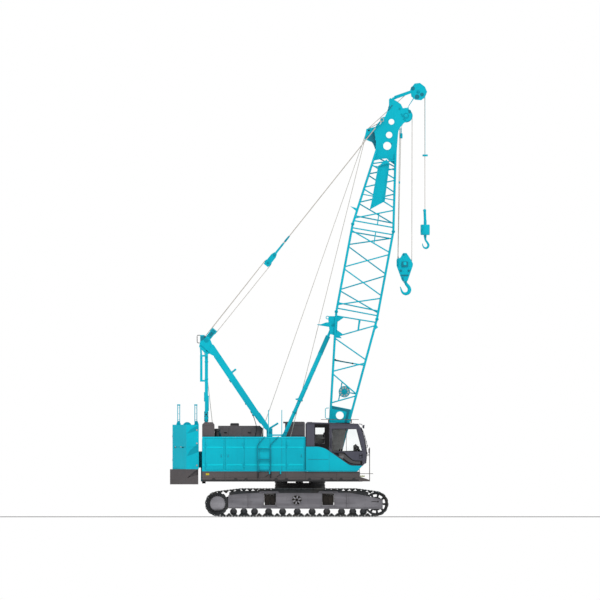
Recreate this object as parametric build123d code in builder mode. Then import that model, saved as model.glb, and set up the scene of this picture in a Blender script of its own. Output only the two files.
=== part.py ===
from build123d import *
import os
from math import acos, atan2, cos, degrees, hypot, radians, sin

# A crawler crane with a lattice boom, standing with its boom raised.
# Millimetres. +X is the boom's side, +Y the machine's left, +Z up.
# The origin is on the ground, on the axis about which the upper machine turns.

# Clearances
seat_gap = 0.3
run_gap = 6
bore_gap = 0.05

# Crawlers
track_centre_y = 2020
shoe_width = 760
shoe_count = 66
shoe_thickness = 40
shoe_notch = 18
shoe_notch_length = 34
drive_lug_height = 60
drive_lug_width = 90
loop_radius = 430
sprocket_x = -2772
idler_x = 2552
top_run_z = 955
top_run_rear_x = -2000
top_run_front_x = 1900
side_frame_width = 440
side_frame_plate = 40
wheel_width = 300
wheel_groove = 110
hub_radius = 300
final_drive_radius = 252
roller_radius = 120
roller_width = 280
roller_axle_radius = 40
roller_places = (-2234, -1882, -1529, -1055, -585, -91, 407, 900, 1394, 1774, 2127)

# Carbody and slewing ring
axle_rear_x = -1010
axle_front_x = 945
axle_length = 360
axle_height = 345
axle_bottom_z = 385
window_length = 400
window_top_z = 775
carbody_half_length = 850
carbody_half_width = 1000
carbody_bottom_z = 480
carbody_top_z = 1000
ring_radius = 830
ring_bore_radius = 640
ring_top_z = 1130

# Revolving frame and decks
frame_half_width = 680
frame_web = 60
frame_plate = 40
frame_bottom_z = 1175
frame_top_z = 1500
frame_rear_x = -3290
frame_front_x = 1300
deck_top_z = 1512
deck_skirt_z = 1240
deck_front_x = 2016
deck_inner_y = frame_half_width + seat_gap
deck_outer_y = 1620
deck_wall = 40
step_front_x = 2352

# Machinery houses
house_rear_x = -3290
house_front_x = 185
house_inner_y = 720
house_outer_y = 1600
house_top_z = 2681
house_wall = 40
door_gap = 6
door_bottom_z = 1560
door_top_z = 2630

# Counterweight
counterweight_rear_x = -4368
counterweight_front_x = -3417
counterweight_half_width = 1600
counterweight_facet_x = -3817
counterweight_facet_y = 980
base_weight_bottom_z = 1079
base_weight_top_z = 1589
stack_rear_x = -4284
stack_front_x = -3400
stack_split_z = 2335
stack_top_z = 3085

# Cab
cab_rear_x = 200
cab_inner_y = 700
cab_outer_y = 1640
cab_wall = 45
cab_top_z = 3175
glass_thickness = 12
glass_inset = 10

# Boom, along its own axis from the foot pin
boom_angle = 79.4
foot_x = 1058.4
foot_z = 1562.4
foot_pin_radius = 45
foot_eye_radius = 110
foot_half_depth = 144
base_length = 5260
insert_length = 2997
tip_length = 2593
rear_depth = 820
front_depth = 568
tip_rear_depth = 490
tip_front_depth = 160
boom_half_width = 580
tip_half_width = 360
chord_diameter = 80
lacing_diameter = 45
head_plate_inner_y = 310
head_plate = 25
point_along = 12158
point_forward = 271
point_pin_radius = 45
point_sheave_radius = 225
sheave_hub_y = 190
aux_along = 13034
aux_forward = 528
aux_sheave_radius = 235
aux_pin_radius = 40
sheave_half_width = 30
pendant_along = 11881
pendant_forward = -497
backstop_along = 4798
backstop_forward = -847
bracket_inner_y = 537
bracket_outer_y = 561

# Gantry, stays and backstops
gantry_foot = (-1030, 2870)
gantry_head = (-3142, 5930)
gantry_leg_inner_y = 600
gantry_leg_outer_y = 680
rear_leg_foot_z = 2750
rear_leg_x = -3144
backstop_foot = (-538, 2705)
backstop_y = 500
backstop_rod_diameter = 126
backstop_sleeve_diameter = 154
spreader_half_width = 300
pendant_diameter = 32
pendant_head_y = 430
pendant_eye = 36
stay_block_start = 3201
stay_block_end = 3737
stay_link_end = 4165

# Winch drums in the bay between the houses
drum_z = 2000
drum_radius = 255
drum_flange_radius = 370
drum_half_length = 390
drum_shaft_radius = 50
drum_places = {"front_drum": -760, "main_drum": -1690, "boom_drum": -2550}
winch_stand_inner_y = 410
winch_stand_plate = 30

# Hooks, hanging plumb under their sheaves
block_x = 3520
block_sheave_z = 8500
block_sheave_radius = 250
block_bottom_z = 7900
hook_centre_z = 7610
hook_outer_radius = 180
hook_inner_radius = 100
aux_x = 4205
aux_ball_radius = 155
aux_ball_bottom_z = 9455
aux_ball_top_z = 9811
aux_hook_centre_z = 9105
aux_hook_outer_radius = 130
aux_hook_inner_radius = 75

os.makedirs("parts", exist_ok=True)


def side_plane(y):
    """A plane seen from the machine's right side, X across and Z up."""
    return Plane(origin=(0, y, 0), x_dir=(1, 0, 0), z_dir=(0, -1, 0))


def plate(points, y_from, y_to, mode=Mode.ADD):
    """A flat piece whose side view is a polygon of (x, z) points."""
    with BuildSketch(side_plane(y_to)) as outline:
        with BuildLine():
            Polyline(*points, close=True)
        make_face()
    extrude(outline.sketch, amount=y_to - y_from, mode=mode)


def plate_pair(points, inner_y, outer_y, mode=Mode.ADD):
    """The same flat piece on both sides of the machine."""
    plate(points, inner_y, outer_y, mode)
    plate(points, -outer_y, -inner_y, mode)


def block(x_range, y_range, z_range, mode=Mode.ADD):
    """A rectangular block between two places along each axis."""
    sizes = [high - low for low, high in (x_range, y_range, z_range)]
    middle = [(low + high) / 2 for low, high in (x_range, y_range, z_range)]
    with Locations(tuple(middle)):
        Box(*sizes, mode=mode)


def block_pair(x_range, y_range, z_range, mode=Mode.ADD):
    """The same block on both sides, its y range counted from the middle."""
    inner_y, outer_y = y_range
    block(x_range, (inner_y, outer_y), z_range, mode)
    block(x_range, (-outer_y, -inner_y), z_range, mode)


def disc(x, z, radius, y_from, y_to, mode=Mode.ADD):
    """A round piece lying across the machine."""
    with BuildSketch(side_plane(y_to)) as outline:
        with Locations((x, z)):
            Circle(radius)
    extrude(outline.sketch, amount=y_to - y_from, mode=mode)


def disc_pair(x, z, radius, inner_y, outer_y, mode=Mode.ADD):
    """The same round piece on both sides of the machine."""
    disc(x, z, radius, inner_y, outer_y, mode)
    disc(x, z, radius, -outer_y, -inner_y, mode)


def bar(start, end, diameter):
    """A round bar or tube between two points."""
    run = Vector(*end) - Vector(*start)
    with BuildSketch(Plane(origin=start, z_dir=run)) as section:
        Circle(diameter / 2)
    extrude(section.sketch, amount=run.length)


def finish(part_builder, name):
    """Labels a piece and writes it."""
    part_builder.part.label = name
    export_step(part_builder.part, f"parts/{name}.step")


# Crawler loop: its outer surface as straight runs and two arcs

loop_z = loop_radius


def tangent_turn(centre_x, corner_x, side):
    """The angle on an end circle where the run to a top corner leaves it."""
    reach = hypot(corner_x - centre_x, top_run_z - loop_z)
    towards = atan2(top_run_z - loop_z, corner_x - centre_x)
    return towards + side * acos(loop_radius / reach)


front_turn = tangent_turn(idler_x, top_run_front_x, -1)
rear_turn = tangent_turn(sprocket_x, top_run_rear_x, 1)
with BuildLine(Plane.XZ):
    front_top = (idler_x + loop_radius * cos(front_turn), loop_z + loop_radius * sin(front_turn))
    rear_top = (sprocket_x + loop_radius * cos(rear_turn), loop_z + loop_radius * sin(rear_turn))
    ground_run = Line((sprocket_x, 0), (idler_x, 0))
    front_arc = CenterArc((idler_x, loop_z), loop_radius, -90, degrees(front_turn) + 90)
    top_front_run = Line(front_top, (top_run_front_x, top_run_z))
    top_run = Line((top_run_front_x, top_run_z), (top_run_rear_x, top_run_z))
    top_rear_run = Line((top_run_rear_x, top_run_z), rear_top)
    rear_arc = CenterArc(
        (sprocket_x, loop_z), loop_radius, degrees(rear_turn), 270 - degrees(rear_turn)
    )
loop_runs = [ground_run, front_arc, top_front_run, top_run, top_rear_run, rear_arc]
loop_length = sum(run.length for run in loop_runs)
shoe_pitch = loop_length / shoe_count


def loop_point(distance, depth):
    """A point on the loop, moved inwards from its outer surface by a depth."""
    left = distance % loop_length
    for run in loop_runs:
        if left <= run.length:
            break
        left -= run.length
    share = min(left / run.length, 1)
    point = run.position_at(share)
    heading = run.tangent_at(share)
    return (point.X - depth * heading.Z, point.Z + depth * heading.X)


def loop_ring(outside, inside):
    """A face between two closed outlines of the loop."""
    with BuildLine() as outer_line:
        Polyline(*outside, close=True)
    make_face(outer_line.edges())
    with BuildLine() as inner_line:
        Polyline(*inside, close=True)
    make_face(inner_line.edges(), mode=Mode.SUBTRACT)


shoe_outside = []
shoe_inside = []
lug_outside = []
lug_inside = []
lug_root = 55
lug_crown = 32
for shoe in range(shoe_count):
    joint = shoe * shoe_pitch
    middle = joint + shoe_pitch / 2
    shoe_outside.append(loop_point(joint, shoe_notch))
    shoe_outside.append(loop_point(joint + shoe_notch_length / 2, 0))
    shoe_outside.append(loop_point(joint + shoe_pitch - shoe_notch_length / 2, 0))
    shoe_inside.append(loop_point(joint, shoe_thickness))
    lug_outside.append(loop_point(joint, shoe_thickness - 8))
    lug_inside.append(loop_point(middle - lug_root, shoe_thickness))
    lug_inside.append(loop_point(middle - lug_crown, shoe_thickness + drive_lug_height))
    lug_inside.append(loop_point(middle + lug_crown, shoe_thickness + drive_lug_height))
    lug_inside.append(loop_point(middle + lug_root, shoe_thickness))

for side, side_name in ((-1, "right"), (1, "left")):
    with BuildPart() as track:
        middle_y = side * track_centre_y
        with BuildSketch(side_plane(middle_y + shoe_width / 2)):
            loop_ring(shoe_outside, shoe_inside)
        extrude(amount=shoe_width)
        with BuildSketch(side_plane(middle_y + drive_lug_width / 2)):
            loop_ring(lug_outside, lug_inside)
        extrude(amount=drive_lug_width)
    finish(track, f"track_{side_name}")

# Side frames of the crawlers, forked around the idler and the sprocket
side_frame_outline = [
    (-2410, 270),
    (-2410, 720),
    (-1950, 765),
    (-1380, 800),
    (-1330, 850),
    (-740, 850),
    (-690, 790),
    (600, 790),
    (650, 850),
    (1250, 850),
    (1300, 800),
    (1650, 800),
    (2100, 720),
    (2780, 570),
    (2780, 250),
    (2300, 250),
]
roller_z = shoe_thickness + seat_gap + roller_radius
wheel_radius = (loop_radius - shoe_thickness) * cos(shoe_pitch / 2 / loop_radius) - seat_gap
roller_slot = roller_width / 2 + 20
idler_slot_x = idler_x - loop_radius
drive_arm_outline = [
    (sprocket_x - 90, loop_z - 90),
    (-2350, 280),
    (-2350, 700),
    (sprocket_x - 90, loop_z + 90),
]
for side, side_name in ((-1, "right"), (1, "left")):
    with BuildPart() as side_frame:
        middle_y = side * track_centre_y
        half = side_frame_width / 2
        inner_face_y = middle_y - side * half
        slot = wheel_width / 2 + 20
        plate(side_frame_outline, middle_y - half, middle_y + half)
        block(
            (idler_slot_x, 2800),
            (middle_y - slot, middle_y + slot),
            (200, 860),
            Mode.SUBTRACT,
        )
        block((-2420, -2340), (middle_y - slot, middle_y + slot), (200, 860), Mode.SUBTRACT)
        block(
            (-2420, 2790),
            (middle_y - roller_slot, middle_y + roller_slot),
            (200, roller_z + roller_radius + 10),
            Mode.SUBTRACT,
        )
        for axle_x in (axle_rear_x, axle_front_x):
            block(
                (axle_x - window_length / 2, axle_x + window_length / 2),
                (middle_y - half - 1, middle_y + half + 1),
                (axle_bottom_z, window_top_z),
                Mode.SUBTRACT,
            )
        arm_y = sorted((inner_face_y, inner_face_y + side * side_frame_plate))
        plate(drive_arm_outline, arm_y[0], arm_y[1])
        disc(idler_x, loop_z, 50, middle_y - half, middle_y + half)
        hanger_top = 285
        for roller_x in roller_places:
            for edge in (-1, 1):
                hanger_y = middle_y + edge * (roller_slot + side_frame_plate / 2)
                hanger = side_frame_plate / 2
                block(
                    (roller_x - 60, roller_x + 60),
                    (hanger_y - hanger, hanger_y + hanger),
                    (roller_z - 40, hanger_top),
                )
        for rib_x in (-1720, 1600):
            rib_y = middle_y + side * half
            block((rib_x - 15, rib_x + 15), sorted((rib_y, rib_y + side * 40)), (300, 760))
    finish(side_frame, f"side_frame_{side_name}")

with BuildPart() as sprockets:
    for side in (-1, 1):
        middle_y = side * track_centre_y
        half = wheel_width / 2
        disc(sprocket_x, loop_z, hub_radius, middle_y - half, middle_y + half)
        for edge in (-1, 1):
            rim = sorted((middle_y + edge * wheel_groove / 2, middle_y + edge * half))
            disc(sprocket_x, loop_z, wheel_radius, rim[0], rim[1])
        cover = sorted((middle_y + side * half, middle_y + side * 235))
        disc(sprocket_x, loop_z, final_drive_radius, cover[0], cover[1])
        gearbox = sorted((middle_y - side * half, middle_y - side * (side_frame_width / 2 - 40)))
        disc(sprocket_x, loop_z, 180, gearbox[0], gearbox[1])
finish(sprockets, "drive_sprockets")

with BuildPart() as idlers:
    for side in (-1, 1):
        middle_y = side * track_centre_y
        half = wheel_width / 2
        disc(idler_x, loop_z, hub_radius, middle_y - half, middle_y + half)
        for edge in (-1, 1):
            rim = sorted((middle_y + edge * wheel_groove / 2, middle_y + edge * half))
            disc(idler_x, loop_z, wheel_radius, rim[0], rim[1])
        disc(idler_x, loop_z, 50 + bore_gap, middle_y - half, middle_y + half, Mode.SUBTRACT)
finish(idlers, "idler_wheels")

with BuildPart() as rollers:
    for side in (-1, 1):
        middle_y = side * track_centre_y
        half = roller_width / 2
        for roller_x in roller_places:
            axle_y = (middle_y - roller_slot, middle_y + roller_slot)
            disc(roller_x, roller_z, roller_axle_radius, *axle_y)
            for edge in (-1, 1):
                rim = sorted((middle_y + edge * wheel_groove / 2, middle_y + edge * half))
                disc(roller_x, roller_z, roller_radius, rim[0], rim[1])
finish(rollers, "track_rollers")

# Carbody: centre box, two axles through the side frames and the ring's seat
with BuildPart() as carbody:
    block(
        (-carbody_half_length, carbody_half_length),
        (-carbody_half_width, carbody_half_width),
        (carbody_bottom_z, carbody_top_z - 90),
    )
    axle_reach = track_centre_y + side_frame_width / 2 - 40
    for axle_x in (axle_rear_x, axle_front_x):
        block(
            (axle_x - axle_length / 2, axle_x + axle_length / 2),
            (-axle_reach, axle_reach),
            (axle_bottom_z, axle_bottom_z + axle_height),
        )
    with BuildSketch(Plane.XY.offset(carbody_top_z - 90)):
        Circle(ring_radius + 20)
    extrude(amount=90)
finish(carbody, "carbody")

with BuildPart() as slew_ring:
    with BuildSketch(Plane.XY.offset(carbody_top_z)):
        Circle(ring_radius)
        Circle(ring_bore_radius, mode=Mode.SUBTRACT)
    extrude(amount=ring_top_z - carbody_top_z)
finish(slew_ring, "slew_ring")

# Revolving frame: floor plate, two long webs, boom foot lugs, posts for the
# gantry and the backstops, winch stands and the bracket for the counterweight
foot_lug_inner = (500, 534)
foot_lug_outer = (626, frame_half_width)
foot_lug_outline = [(foot_x - 190, 1215), (foot_x + 190, 1215), (foot_x + 80, foot_z), (foot_x - 80, foot_z)]
gantry_fork_inner_y = 570
gantry_fork_outer_y = 710
backstop_eye = 50
backstop_fork = 25
with BuildPart() as revolving_frame:
    block(
        (frame_rear_x, frame_front_x + 180),
        (-frame_half_width, frame_half_width),
        (frame_bottom_z, frame_bottom_z + frame_plate),
    )
    block_pair(
        (frame_rear_x, frame_front_x),
        (frame_half_width - frame_web, frame_half_width),
        (frame_bottom_z, frame_top_z),
    )
    with BuildSketch(Plane.XY.offset(ring_top_z + seat_gap)):
        Circle(ring_radius + 20)
        Circle(ring_bore_radius - 40, mode=Mode.SUBTRACT)
    extrude(amount=frame_bottom_z - ring_top_z - seat_gap)
    for slot_from, slot_to in ((-420, -150), (100, 300)):
        block((slot_from, slot_to), (-900, 900), (ring_top_z, frame_bottom_z), Mode.SUBTRACT)
    block_pair((frame_rear_x, frame_rear_x + 120), (500, frame_half_width), (1110, frame_bottom_z))
    # Boom foot lugs and their pins
    for inner_y, outer_y in (foot_lug_inner, foot_lug_outer):
        plate_pair(foot_lug_outline, inner_y, outer_y)
        disc_pair(foot_x, foot_z, foot_eye_radius, inner_y, outer_y)
    disc_pair(foot_x, foot_z, foot_pin_radius, foot_lug_inner[0], foot_lug_outer[1])
    # Gantry posts with a forked top
    gantry_x, gantry_z = gantry_foot
    post_x = (gantry_x - 96, gantry_x + 106)
    block_pair(post_x, (gantry_fork_inner_y, frame_half_width), (frame_top_z, gantry_z - 130))
    block_pair(
        post_x, (frame_half_width - 1, gantry_fork_outer_y), (deck_top_z + seat_gap, gantry_z - 130)
    )
    for fork_y in (
        (gantry_fork_inner_y, gantry_leg_inner_y - run_gap / 2),
        (gantry_leg_outer_y + run_gap / 2, gantry_fork_outer_y),
    ):
        block_pair(post_x, fork_y, (gantry_z - 130, gantry_z + 90))
    disc_pair(gantry_x, gantry_z, 40, gantry_fork_inner_y, gantry_fork_outer_y)
    # Rear gantry posts
    block_pair(
        (rear_leg_x - 56, rear_leg_x + 56),
        (gantry_leg_inner_y, gantry_leg_outer_y),
        (frame_top_z, rear_leg_foot_z),
    )
    # Backstop posts with a forked top
    stop_x, stop_z = backstop_foot
    fork_inner = backstop_y - backstop_eye / 2 - run_gap - backstop_fork
    fork_outer = backstop_y + backstop_eye / 2 + run_gap + backstop_fork
    block_pair(
        (stop_x - 70, stop_x + 70),
        (fork_inner, fork_outer),
        (frame_bottom_z + frame_plate, stop_z - 100),
    )
    block_pair((stop_x - 70, stop_x + 70), (fork_inner, fork_inner + backstop_fork), (stop_z - 100, stop_z + 60))
    block_pair((stop_x - 70, stop_x + 70), (fork_outer - backstop_fork, fork_outer), (stop_z - 100, stop_z + 60))
    disc_pair(stop_x, stop_z, 35, fork_inner, fork_outer)
    # Winch stands
    for drum_x in drum_places.values():
        stand = [
            (drum_x - 280, frame_bottom_z + frame_plate),
            (drum_x + 280, frame_bottom_z + frame_plate),
            (drum_x + 110, drum_z + 110),
            (drum_x - 110, drum_z + 110),
        ]
        plate_pair(stand, winch_stand_inner_y, winch_stand_inner_y + winch_stand_plate)
        disc_pair(
            drum_x,
            drum_z,
            drum_shaft_radius + bore_gap,
            winch_stand_inner_y,
            winch_stand_inner_y + winch_stand_plate,
            Mode.SUBTRACT,
        )
    # Tail bracket that carries the counterweight
    block_pair((stack_front_x, house_rear_x + 60), (300, frame_half_width), (1640, 2190))
    block_pair((house_rear_x - 40, house_rear_x + 60), (300, frame_half_width), (frame_bottom_z, 1640))
finish(revolving_frame, "revolving_frame")

# Decks beside the frame: a skirted box open below, with cross ribs
step_outline = [
    (deck_front_x - 40, 1337),
    (deck_front_x, 1337),
    (step_front_x, 1226),
    (step_front_x, 1180),
    (deck_front_x - 40, 1180),
]
with BuildPart() as decks:
    for side in (-1, 1):
        inner = side * deck_inner_y
        outer = side * deck_outer_y
        block((frame_rear_x, deck_front_x), sorted((inner, outer)), (deck_skirt_z, deck_top_z))
        block(
            (frame_rear_x + 60, deck_front_x - 60),
            sorted((inner, outer - side * 50)),
            (frame_bottom_z, deck_skirt_z),
        )
        rib_from = frame_rear_x + 100
        rib_step = 880
        for bay in range(6):
            bay_from = rib_from + bay * rib_step
            bay_to = min(bay_from + rib_step - deck_wall, deck_front_x - 100)
            block(
                (bay_from, bay_to),
                sorted((inner + side * deck_wall, outer - side * 90)),
                (frame_bottom_z, deck_top_z - deck_wall),
                Mode.SUBTRACT,
            )
    plate(step_outline, -deck_outer_y, -deck_inner_y - 50)
finish(decks, "decks")

# Machinery houses: hollow, with a door opening for each door
house_doors = {
    # name: side, rear edge, front edge, hinge at the rear edge
    "door_right_rear": (-1, -3190, -2550, True),
    "door_right_middle": (-1, -2510, -1870, False),
    "door_right_front": (-1, -470, 145, True),
    "door_left_rear": (1, -3190, -2350, True),
    "door_left_middle": (1, -2310, -1470, False),
    "door_left_front": (1, -900, 145, True),
}
hinge_radius = 12
hinge_height = 100
hinge_inset = 20
hinge_strap = 6
hinge_places = (door_bottom_z + 200, door_top_z - 200)


def hinge_half(x, toward_x, face_y, side, low_z, high_z, lift):
    """One half of a hinge: a knuckle and a strap that reaches sideways to a face."""
    knuckle_y = face_y + side * hinge_radius
    with Locations((x, knuckle_y, (low_z + high_z) / 2)):
        Cylinder(hinge_radius - lift, high_z - low_z)
    strap_y = sorted((face_y + side * lift, face_y + side * (lift + hinge_strap)))
    block(sorted((x, toward_x)), strap_y, (low_z, high_z))


for side, side_name in ((-1, "right"), (1, "left")):
    with BuildPart() as house:
        outer = side * house_outer_y
        inner = side * house_inner_y
        block((house_rear_x, house_front_x), sorted((inner, outer)), (deck_top_z, house_top_z))
        roof_edge = house.edges().filter_by(Axis.X).group_by(Axis.Z)[-1].sort_by(Axis.Y)
        fillet(roof_edge[0] if side < 0 else roof_edge[-1], 60)
        block(
            (house_rear_x + house_wall, house_front_x - house_wall),
            sorted((inner + side * house_wall, outer - side * house_wall)),
            (deck_top_z, house_top_z - house_wall),
            Mode.SUBTRACT,
        )
        for door_side, door_rear, door_front, _ in house_doors.values():
            if door_side == side:
                block(
                    (door_rear, door_front),
                    sorted((outer - side * (house_wall + 1), outer + side)),
                    (door_bottom_z, door_top_z),
                    Mode.SUBTRACT,
                )
        for door_side, door_rear, door_front, hinge_rear in house_doors.values():
            if door_side == side:
                edge = door_rear if hinge_rear else door_front
                away = -1 if hinge_rear else 1
                foot = sorted((edge + away * door_gap, edge + away * (door_gap + 18)))
                for hinge_z in hinge_places:
                    high_z = hinge_z - hinge_height / 2 - seat_gap
                    low_z = high_z - 60
                    knuckle_x = edge - away * hinge_inset
                    hinge_half(knuckle_x, foot[0 if away < 0 else 1], outer, side, low_z, high_z, 0.5)
                    block(foot, sorted((outer, outer + side * hinge_strap)), (low_z, high_z))
    finish(house, f"house_{side_name}")

for door_name, (side, door_rear, door_front, hinge_rear) in house_doors.items():
    with BuildPart() as door:
        outer = side * house_outer_y
        leaf_y = sorted((outer, outer - side * (house_wall - 5)))
        block(
            (door_rear + door_gap, door_front - door_gap),
            leaf_y,
            (door_bottom_z + door_gap, door_top_z - door_gap),
        )
        knuckle_x = door_rear + hinge_inset if hinge_rear else door_front - hinge_inset
        strap_x = knuckle_x + 60 if hinge_rear else knuckle_x - 60
        for hinge_z in hinge_places:
            half = hinge_height / 2
            hinge_half(knuckle_x, strap_x, outer, side, hinge_z - half, hinge_z + half, 0)
        latch_x = door_front - 90 if hinge_rear else door_rear + 90
        block((latch_x - 30, latch_x + 30), sorted((outer, outer + side * 12)), (2010, 2080))
    finish(door, door_name)

with BuildPart() as engine:
    block((-2650, -1500), (860, 1480), (deck_top_z, 2350))
    block((-1500, -1250), (980, 1380), (deck_top_z, 2000))
finish(engine, "engine_block")

# Boxes on the roofs
with BuildPart() as engine_hood:
    plate(
        [(-2750, house_top_z), (-2750, 3050), (-1350, 3050), (-1230, 2950), (-1230, house_top_z)],
        800,
        1540,
    )
    block((-2342, -2050), (1000, 1240), (3050, 3124))
    plate(
        [(-2890, house_top_z), (-2890, 2800), (-2780, 2940), (-2750, 2940), (-2750, house_top_z)],
        900,
        1300,
    )
finish(engine_hood, "engine_hood")

with BuildPart() as rear_box:
    plate(
        [
            (-3288, house_top_z),
            (-3288, 3090),
            (-3210, 3170),
            (-2930, 3170),
            (-2872, 3080),
            (-2872, house_top_z),
        ],
        -1500,
        -760,
    )
finish(rear_box, "rear_roof_box")

with BuildPart() as front_box:
    block((-503, 165), (760, 1500), (house_top_z, 3185))
    fillet(front_box.edges().filter_by(Axis.Y).group_by(Axis.Z)[-1], 50)
    block((-565, -400), (760, 1500), (3130, 3185))
finish(front_box, "front_roof_box")

with BuildPart() as left_box:
    block((300, 1900), (800, 1600), (deck_top_z, 2120))
    chamfer(left_box.edges().filter_by(Axis.Y).group_by(Axis.Z)[-1], 60)
finish(left_box, "tank_box")


# Counterweight: a base slab and two stacked slabs, faceted towards the rear
def weight_slab(rear_x, front_x, bottom_z, top_z):
    """A slab whose plan narrows behind the facet line."""
    with BuildSketch(Plane.XY.offset(bottom_z)) as plan:
        with BuildLine():
            Polyline(
                (front_x, -counterweight_half_width),
                (front_x, counterweight_half_width),
                (counterweight_facet_x, counterweight_half_width),
                (rear_x, counterweight_facet_y),
                (rear_x, -counterweight_facet_y),
                (counterweight_facet_x, -counterweight_half_width),
                close=True,
            )
        make_face()
    extrude(plan.sketch, amount=top_z - bottom_z)


def weight_scoop(tip_z, scoop_height):
    """A lifting recess in each side of a slab, deepening towards the front."""
    outline = [
        (-3800, tip_z),
        (-3420, tip_z + 120),
        (-3420, tip_z + scoop_height),
        (-3560, tip_z + scoop_height * 0.72),
    ]
    plate_pair(
        outline, counterweight_half_width - 70, counterweight_half_width + 1, Mode.SUBTRACT
    )


with BuildPart() as base_weight:
    weight_slab(
        counterweight_rear_x, counterweight_front_x, base_weight_bottom_z, base_weight_top_z
    )
    weight_scoop(1290, 300)
finish(base_weight, "counterweight_base")

with BuildPart() as lower_weight:
    weight_slab(stack_rear_x, stack_front_x, base_weight_top_z, stack_split_z)
    weight_scoop(2050, 400)
    for notch_x in (-4190, -3935):
        block_pair((notch_x - 30, notch_x + 30), (counterweight_facet_y, 1601), (stack_split_z - 30, stack_split_z), Mode.SUBTRACT)
finish(lower_weight, "counterweight_lower")

with BuildPart() as upper_weight:
    weight_slab(stack_rear_x, stack_front_x, stack_split_z, stack_top_z)
    weight_scoop(2800, 270)
    # Dome cover, lifting ears and guard posts on top
    disc(-3790, stack_top_z - 60, 150, -500, 500)
    for ear_x in (-4080, -3480):
        plate_pair(
            [(ear_x - 80, stack_top_z), (ear_x - 40, 3210), (ear_x + 40, 3210), (ear_x + 80, stack_top_z)],
            840,
            880,
        )
    for post_x in (-4075, -3500):
        for post_y in (-900, 900):
            for twin in (-35, 35):
                bar((post_x + twin, post_y, stack_top_z), (post_x + twin, post_y, 3740), 26)
            with Locations((post_x, post_y, 3750)):
                Box(110, 40, 40)
finish(upper_weight, "counterweight_upper")


# Gantry
def gantry_place(share):
    """A point on the front leg's centre line, 0 at its foot and 1 at its head."""
    return tuple(low + share * (high - low) for low, high in zip(gantry_foot, gantry_head))


leg_turn = atan2(gantry_head[1] - gantry_foot[1], gantry_head[0] - gantry_foot[0])


def leg_edge(share, offset):
    """A point beside the front leg's centre line."""
    x, z = gantry_place(share)
    return (x - offset * sin(leg_turn), z + offset * cos(leg_turn))


leg_foot_depth = 130
leg_head_depth = 215
with BuildPart() as gantry_front:
    leg_outline = [
        leg_edge(0.02, leg_foot_depth / 2),
        leg_edge(0.93, leg_head_depth / 2),
        leg_edge(0.93, -leg_head_depth / 2),
        leg_edge(0.02, -leg_foot_depth / 2),
    ]
    plate_pair(leg_outline, gantry_leg_inner_y, gantry_leg_outer_y)
    disc_pair(*gantry_foot, 80, gantry_leg_inner_y, gantry_leg_outer_y)
    disc_pair(*gantry_foot, 40 + bore_gap, gantry_leg_inner_y, gantry_leg_outer_y, Mode.SUBTRACT)
    head_x, head_z = gantry_head
    head_outline = [
        (head_x - 250, head_z - 230),
        (head_x - 200, head_z + 30),
        (head_x - 100, head_z + 120),
        (head_x + 90, head_z + 110),
        (head_x + 190, head_z - 130),
        (head_x + 60, head_z - 480),
        (head_x - 30, head_z - 480),
    ]
    plate_pair(head_outline, gantry_leg_inner_y, gantry_leg_outer_y)
    plate_pair(head_outline, spreader_half_width + 2 * run_gap, spreader_half_width + 2 * run_gap + 30)
    # Cross members between the legs
    bar((head_x + 40, -gantry_leg_outer_y, head_z - 380), (head_x + 40, gantry_leg_outer_y, head_z - 380), 150)
    for share in (0.12, 0.5):
        x, z = gantry_place(share)
        bar((x, -gantry_leg_outer_y, z), (x, gantry_leg_outer_y, z), 110)
    block((head_x - 215, head_x - 60), (-gantry_leg_inner_y, gantry_leg_inner_y), (head_z + 115, head_z + 170))
    block_pair(
        (head_x - 215, head_x - 100),
        (spreader_half_width + 2 * run_gap, gantry_leg_outer_y),
        (head_z - 100, head_z + 170),
    )
    # Head pin on which the lower spreader swings
    disc(head_x, head_z, 50, -gantry_leg_outer_y, gantry_leg_outer_y)
    # Rope guide bars on the legs
    for start, end in (((-2335, 4807), (-2174, 4932)), ((-1025, 2960), (-759, 3121))):
        for leg_y in (-630, 630):
            bar((start[0], leg_y, start[1]), (end[0], leg_y, end[1]), 64)
        bar((end[0], -662, end[1]), (end[0], 662, end[1]), 64)
finish(gantry_front, "gantry_front")

with BuildPart() as gantry_rear:
    top_z = gantry_head[1] - 480 - 20
    block_pair(
        (rear_leg_x - 55, rear_leg_x + 55),
        (gantry_leg_inner_y, gantry_leg_outer_y),
        (rear_leg_foot_z, top_z),
    )
    disc_pair(rear_leg_x, 4020, 78, gantry_leg_inner_y, gantry_leg_outer_y)
    disc_pair(rear_leg_x, 3320, 72, gantry_leg_inner_y, gantry_leg_outer_y)
    bar((rear_leg_x, -gantry_leg_outer_y, 3000), (rear_leg_x, gantry_leg_outer_y, 3000), 90)
    # Folded stay beside each leg
    block_pair((-3360, -3276), (gantry_leg_inner_y, gantry_leg_outer_y), (4553, top_z))
    block_pair((-3360, rear_leg_x), (gantry_leg_inner_y, gantry_leg_outer_y), (4530, 4590))
    block_pair((-3360, rear_leg_x), (gantry_leg_inner_y, gantry_leg_outer_y), (top_z - 60, top_z))
finish(gantry_rear, "gantry_rear")

# Winch drums
for drum_name, drum_x in drum_places.items():
    with BuildPart() as drum:
        disc(drum_x, drum_z, drum_radius, -drum_half_length, drum_half_length)
        disc_pair(drum_x, drum_z, drum_flange_radius, drum_half_length - 30, drum_half_length)
        shaft_end = winch_stand_inner_y + winch_stand_plate + 20
        disc(drum_x, drum_z, drum_shaft_radius, -shaft_end, shaft_end)
    finish(drum, drum_name)

# Cab
cab_rear_top = (cab_rear_x, cab_top_z)
cab_front_points = [
    (1959, 3118),
    (2040, 2977),
    (2150, 2638),
    (2234, 2100),
    (2205, 1800),
    (2023, 1626),
    (1930, deck_top_z),
]
swoop_points = [(cab_rear_x, 2349), (769, 2349), (1687, 1712), (2110, 1705)]
swoop_radii = [630, 300]


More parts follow.
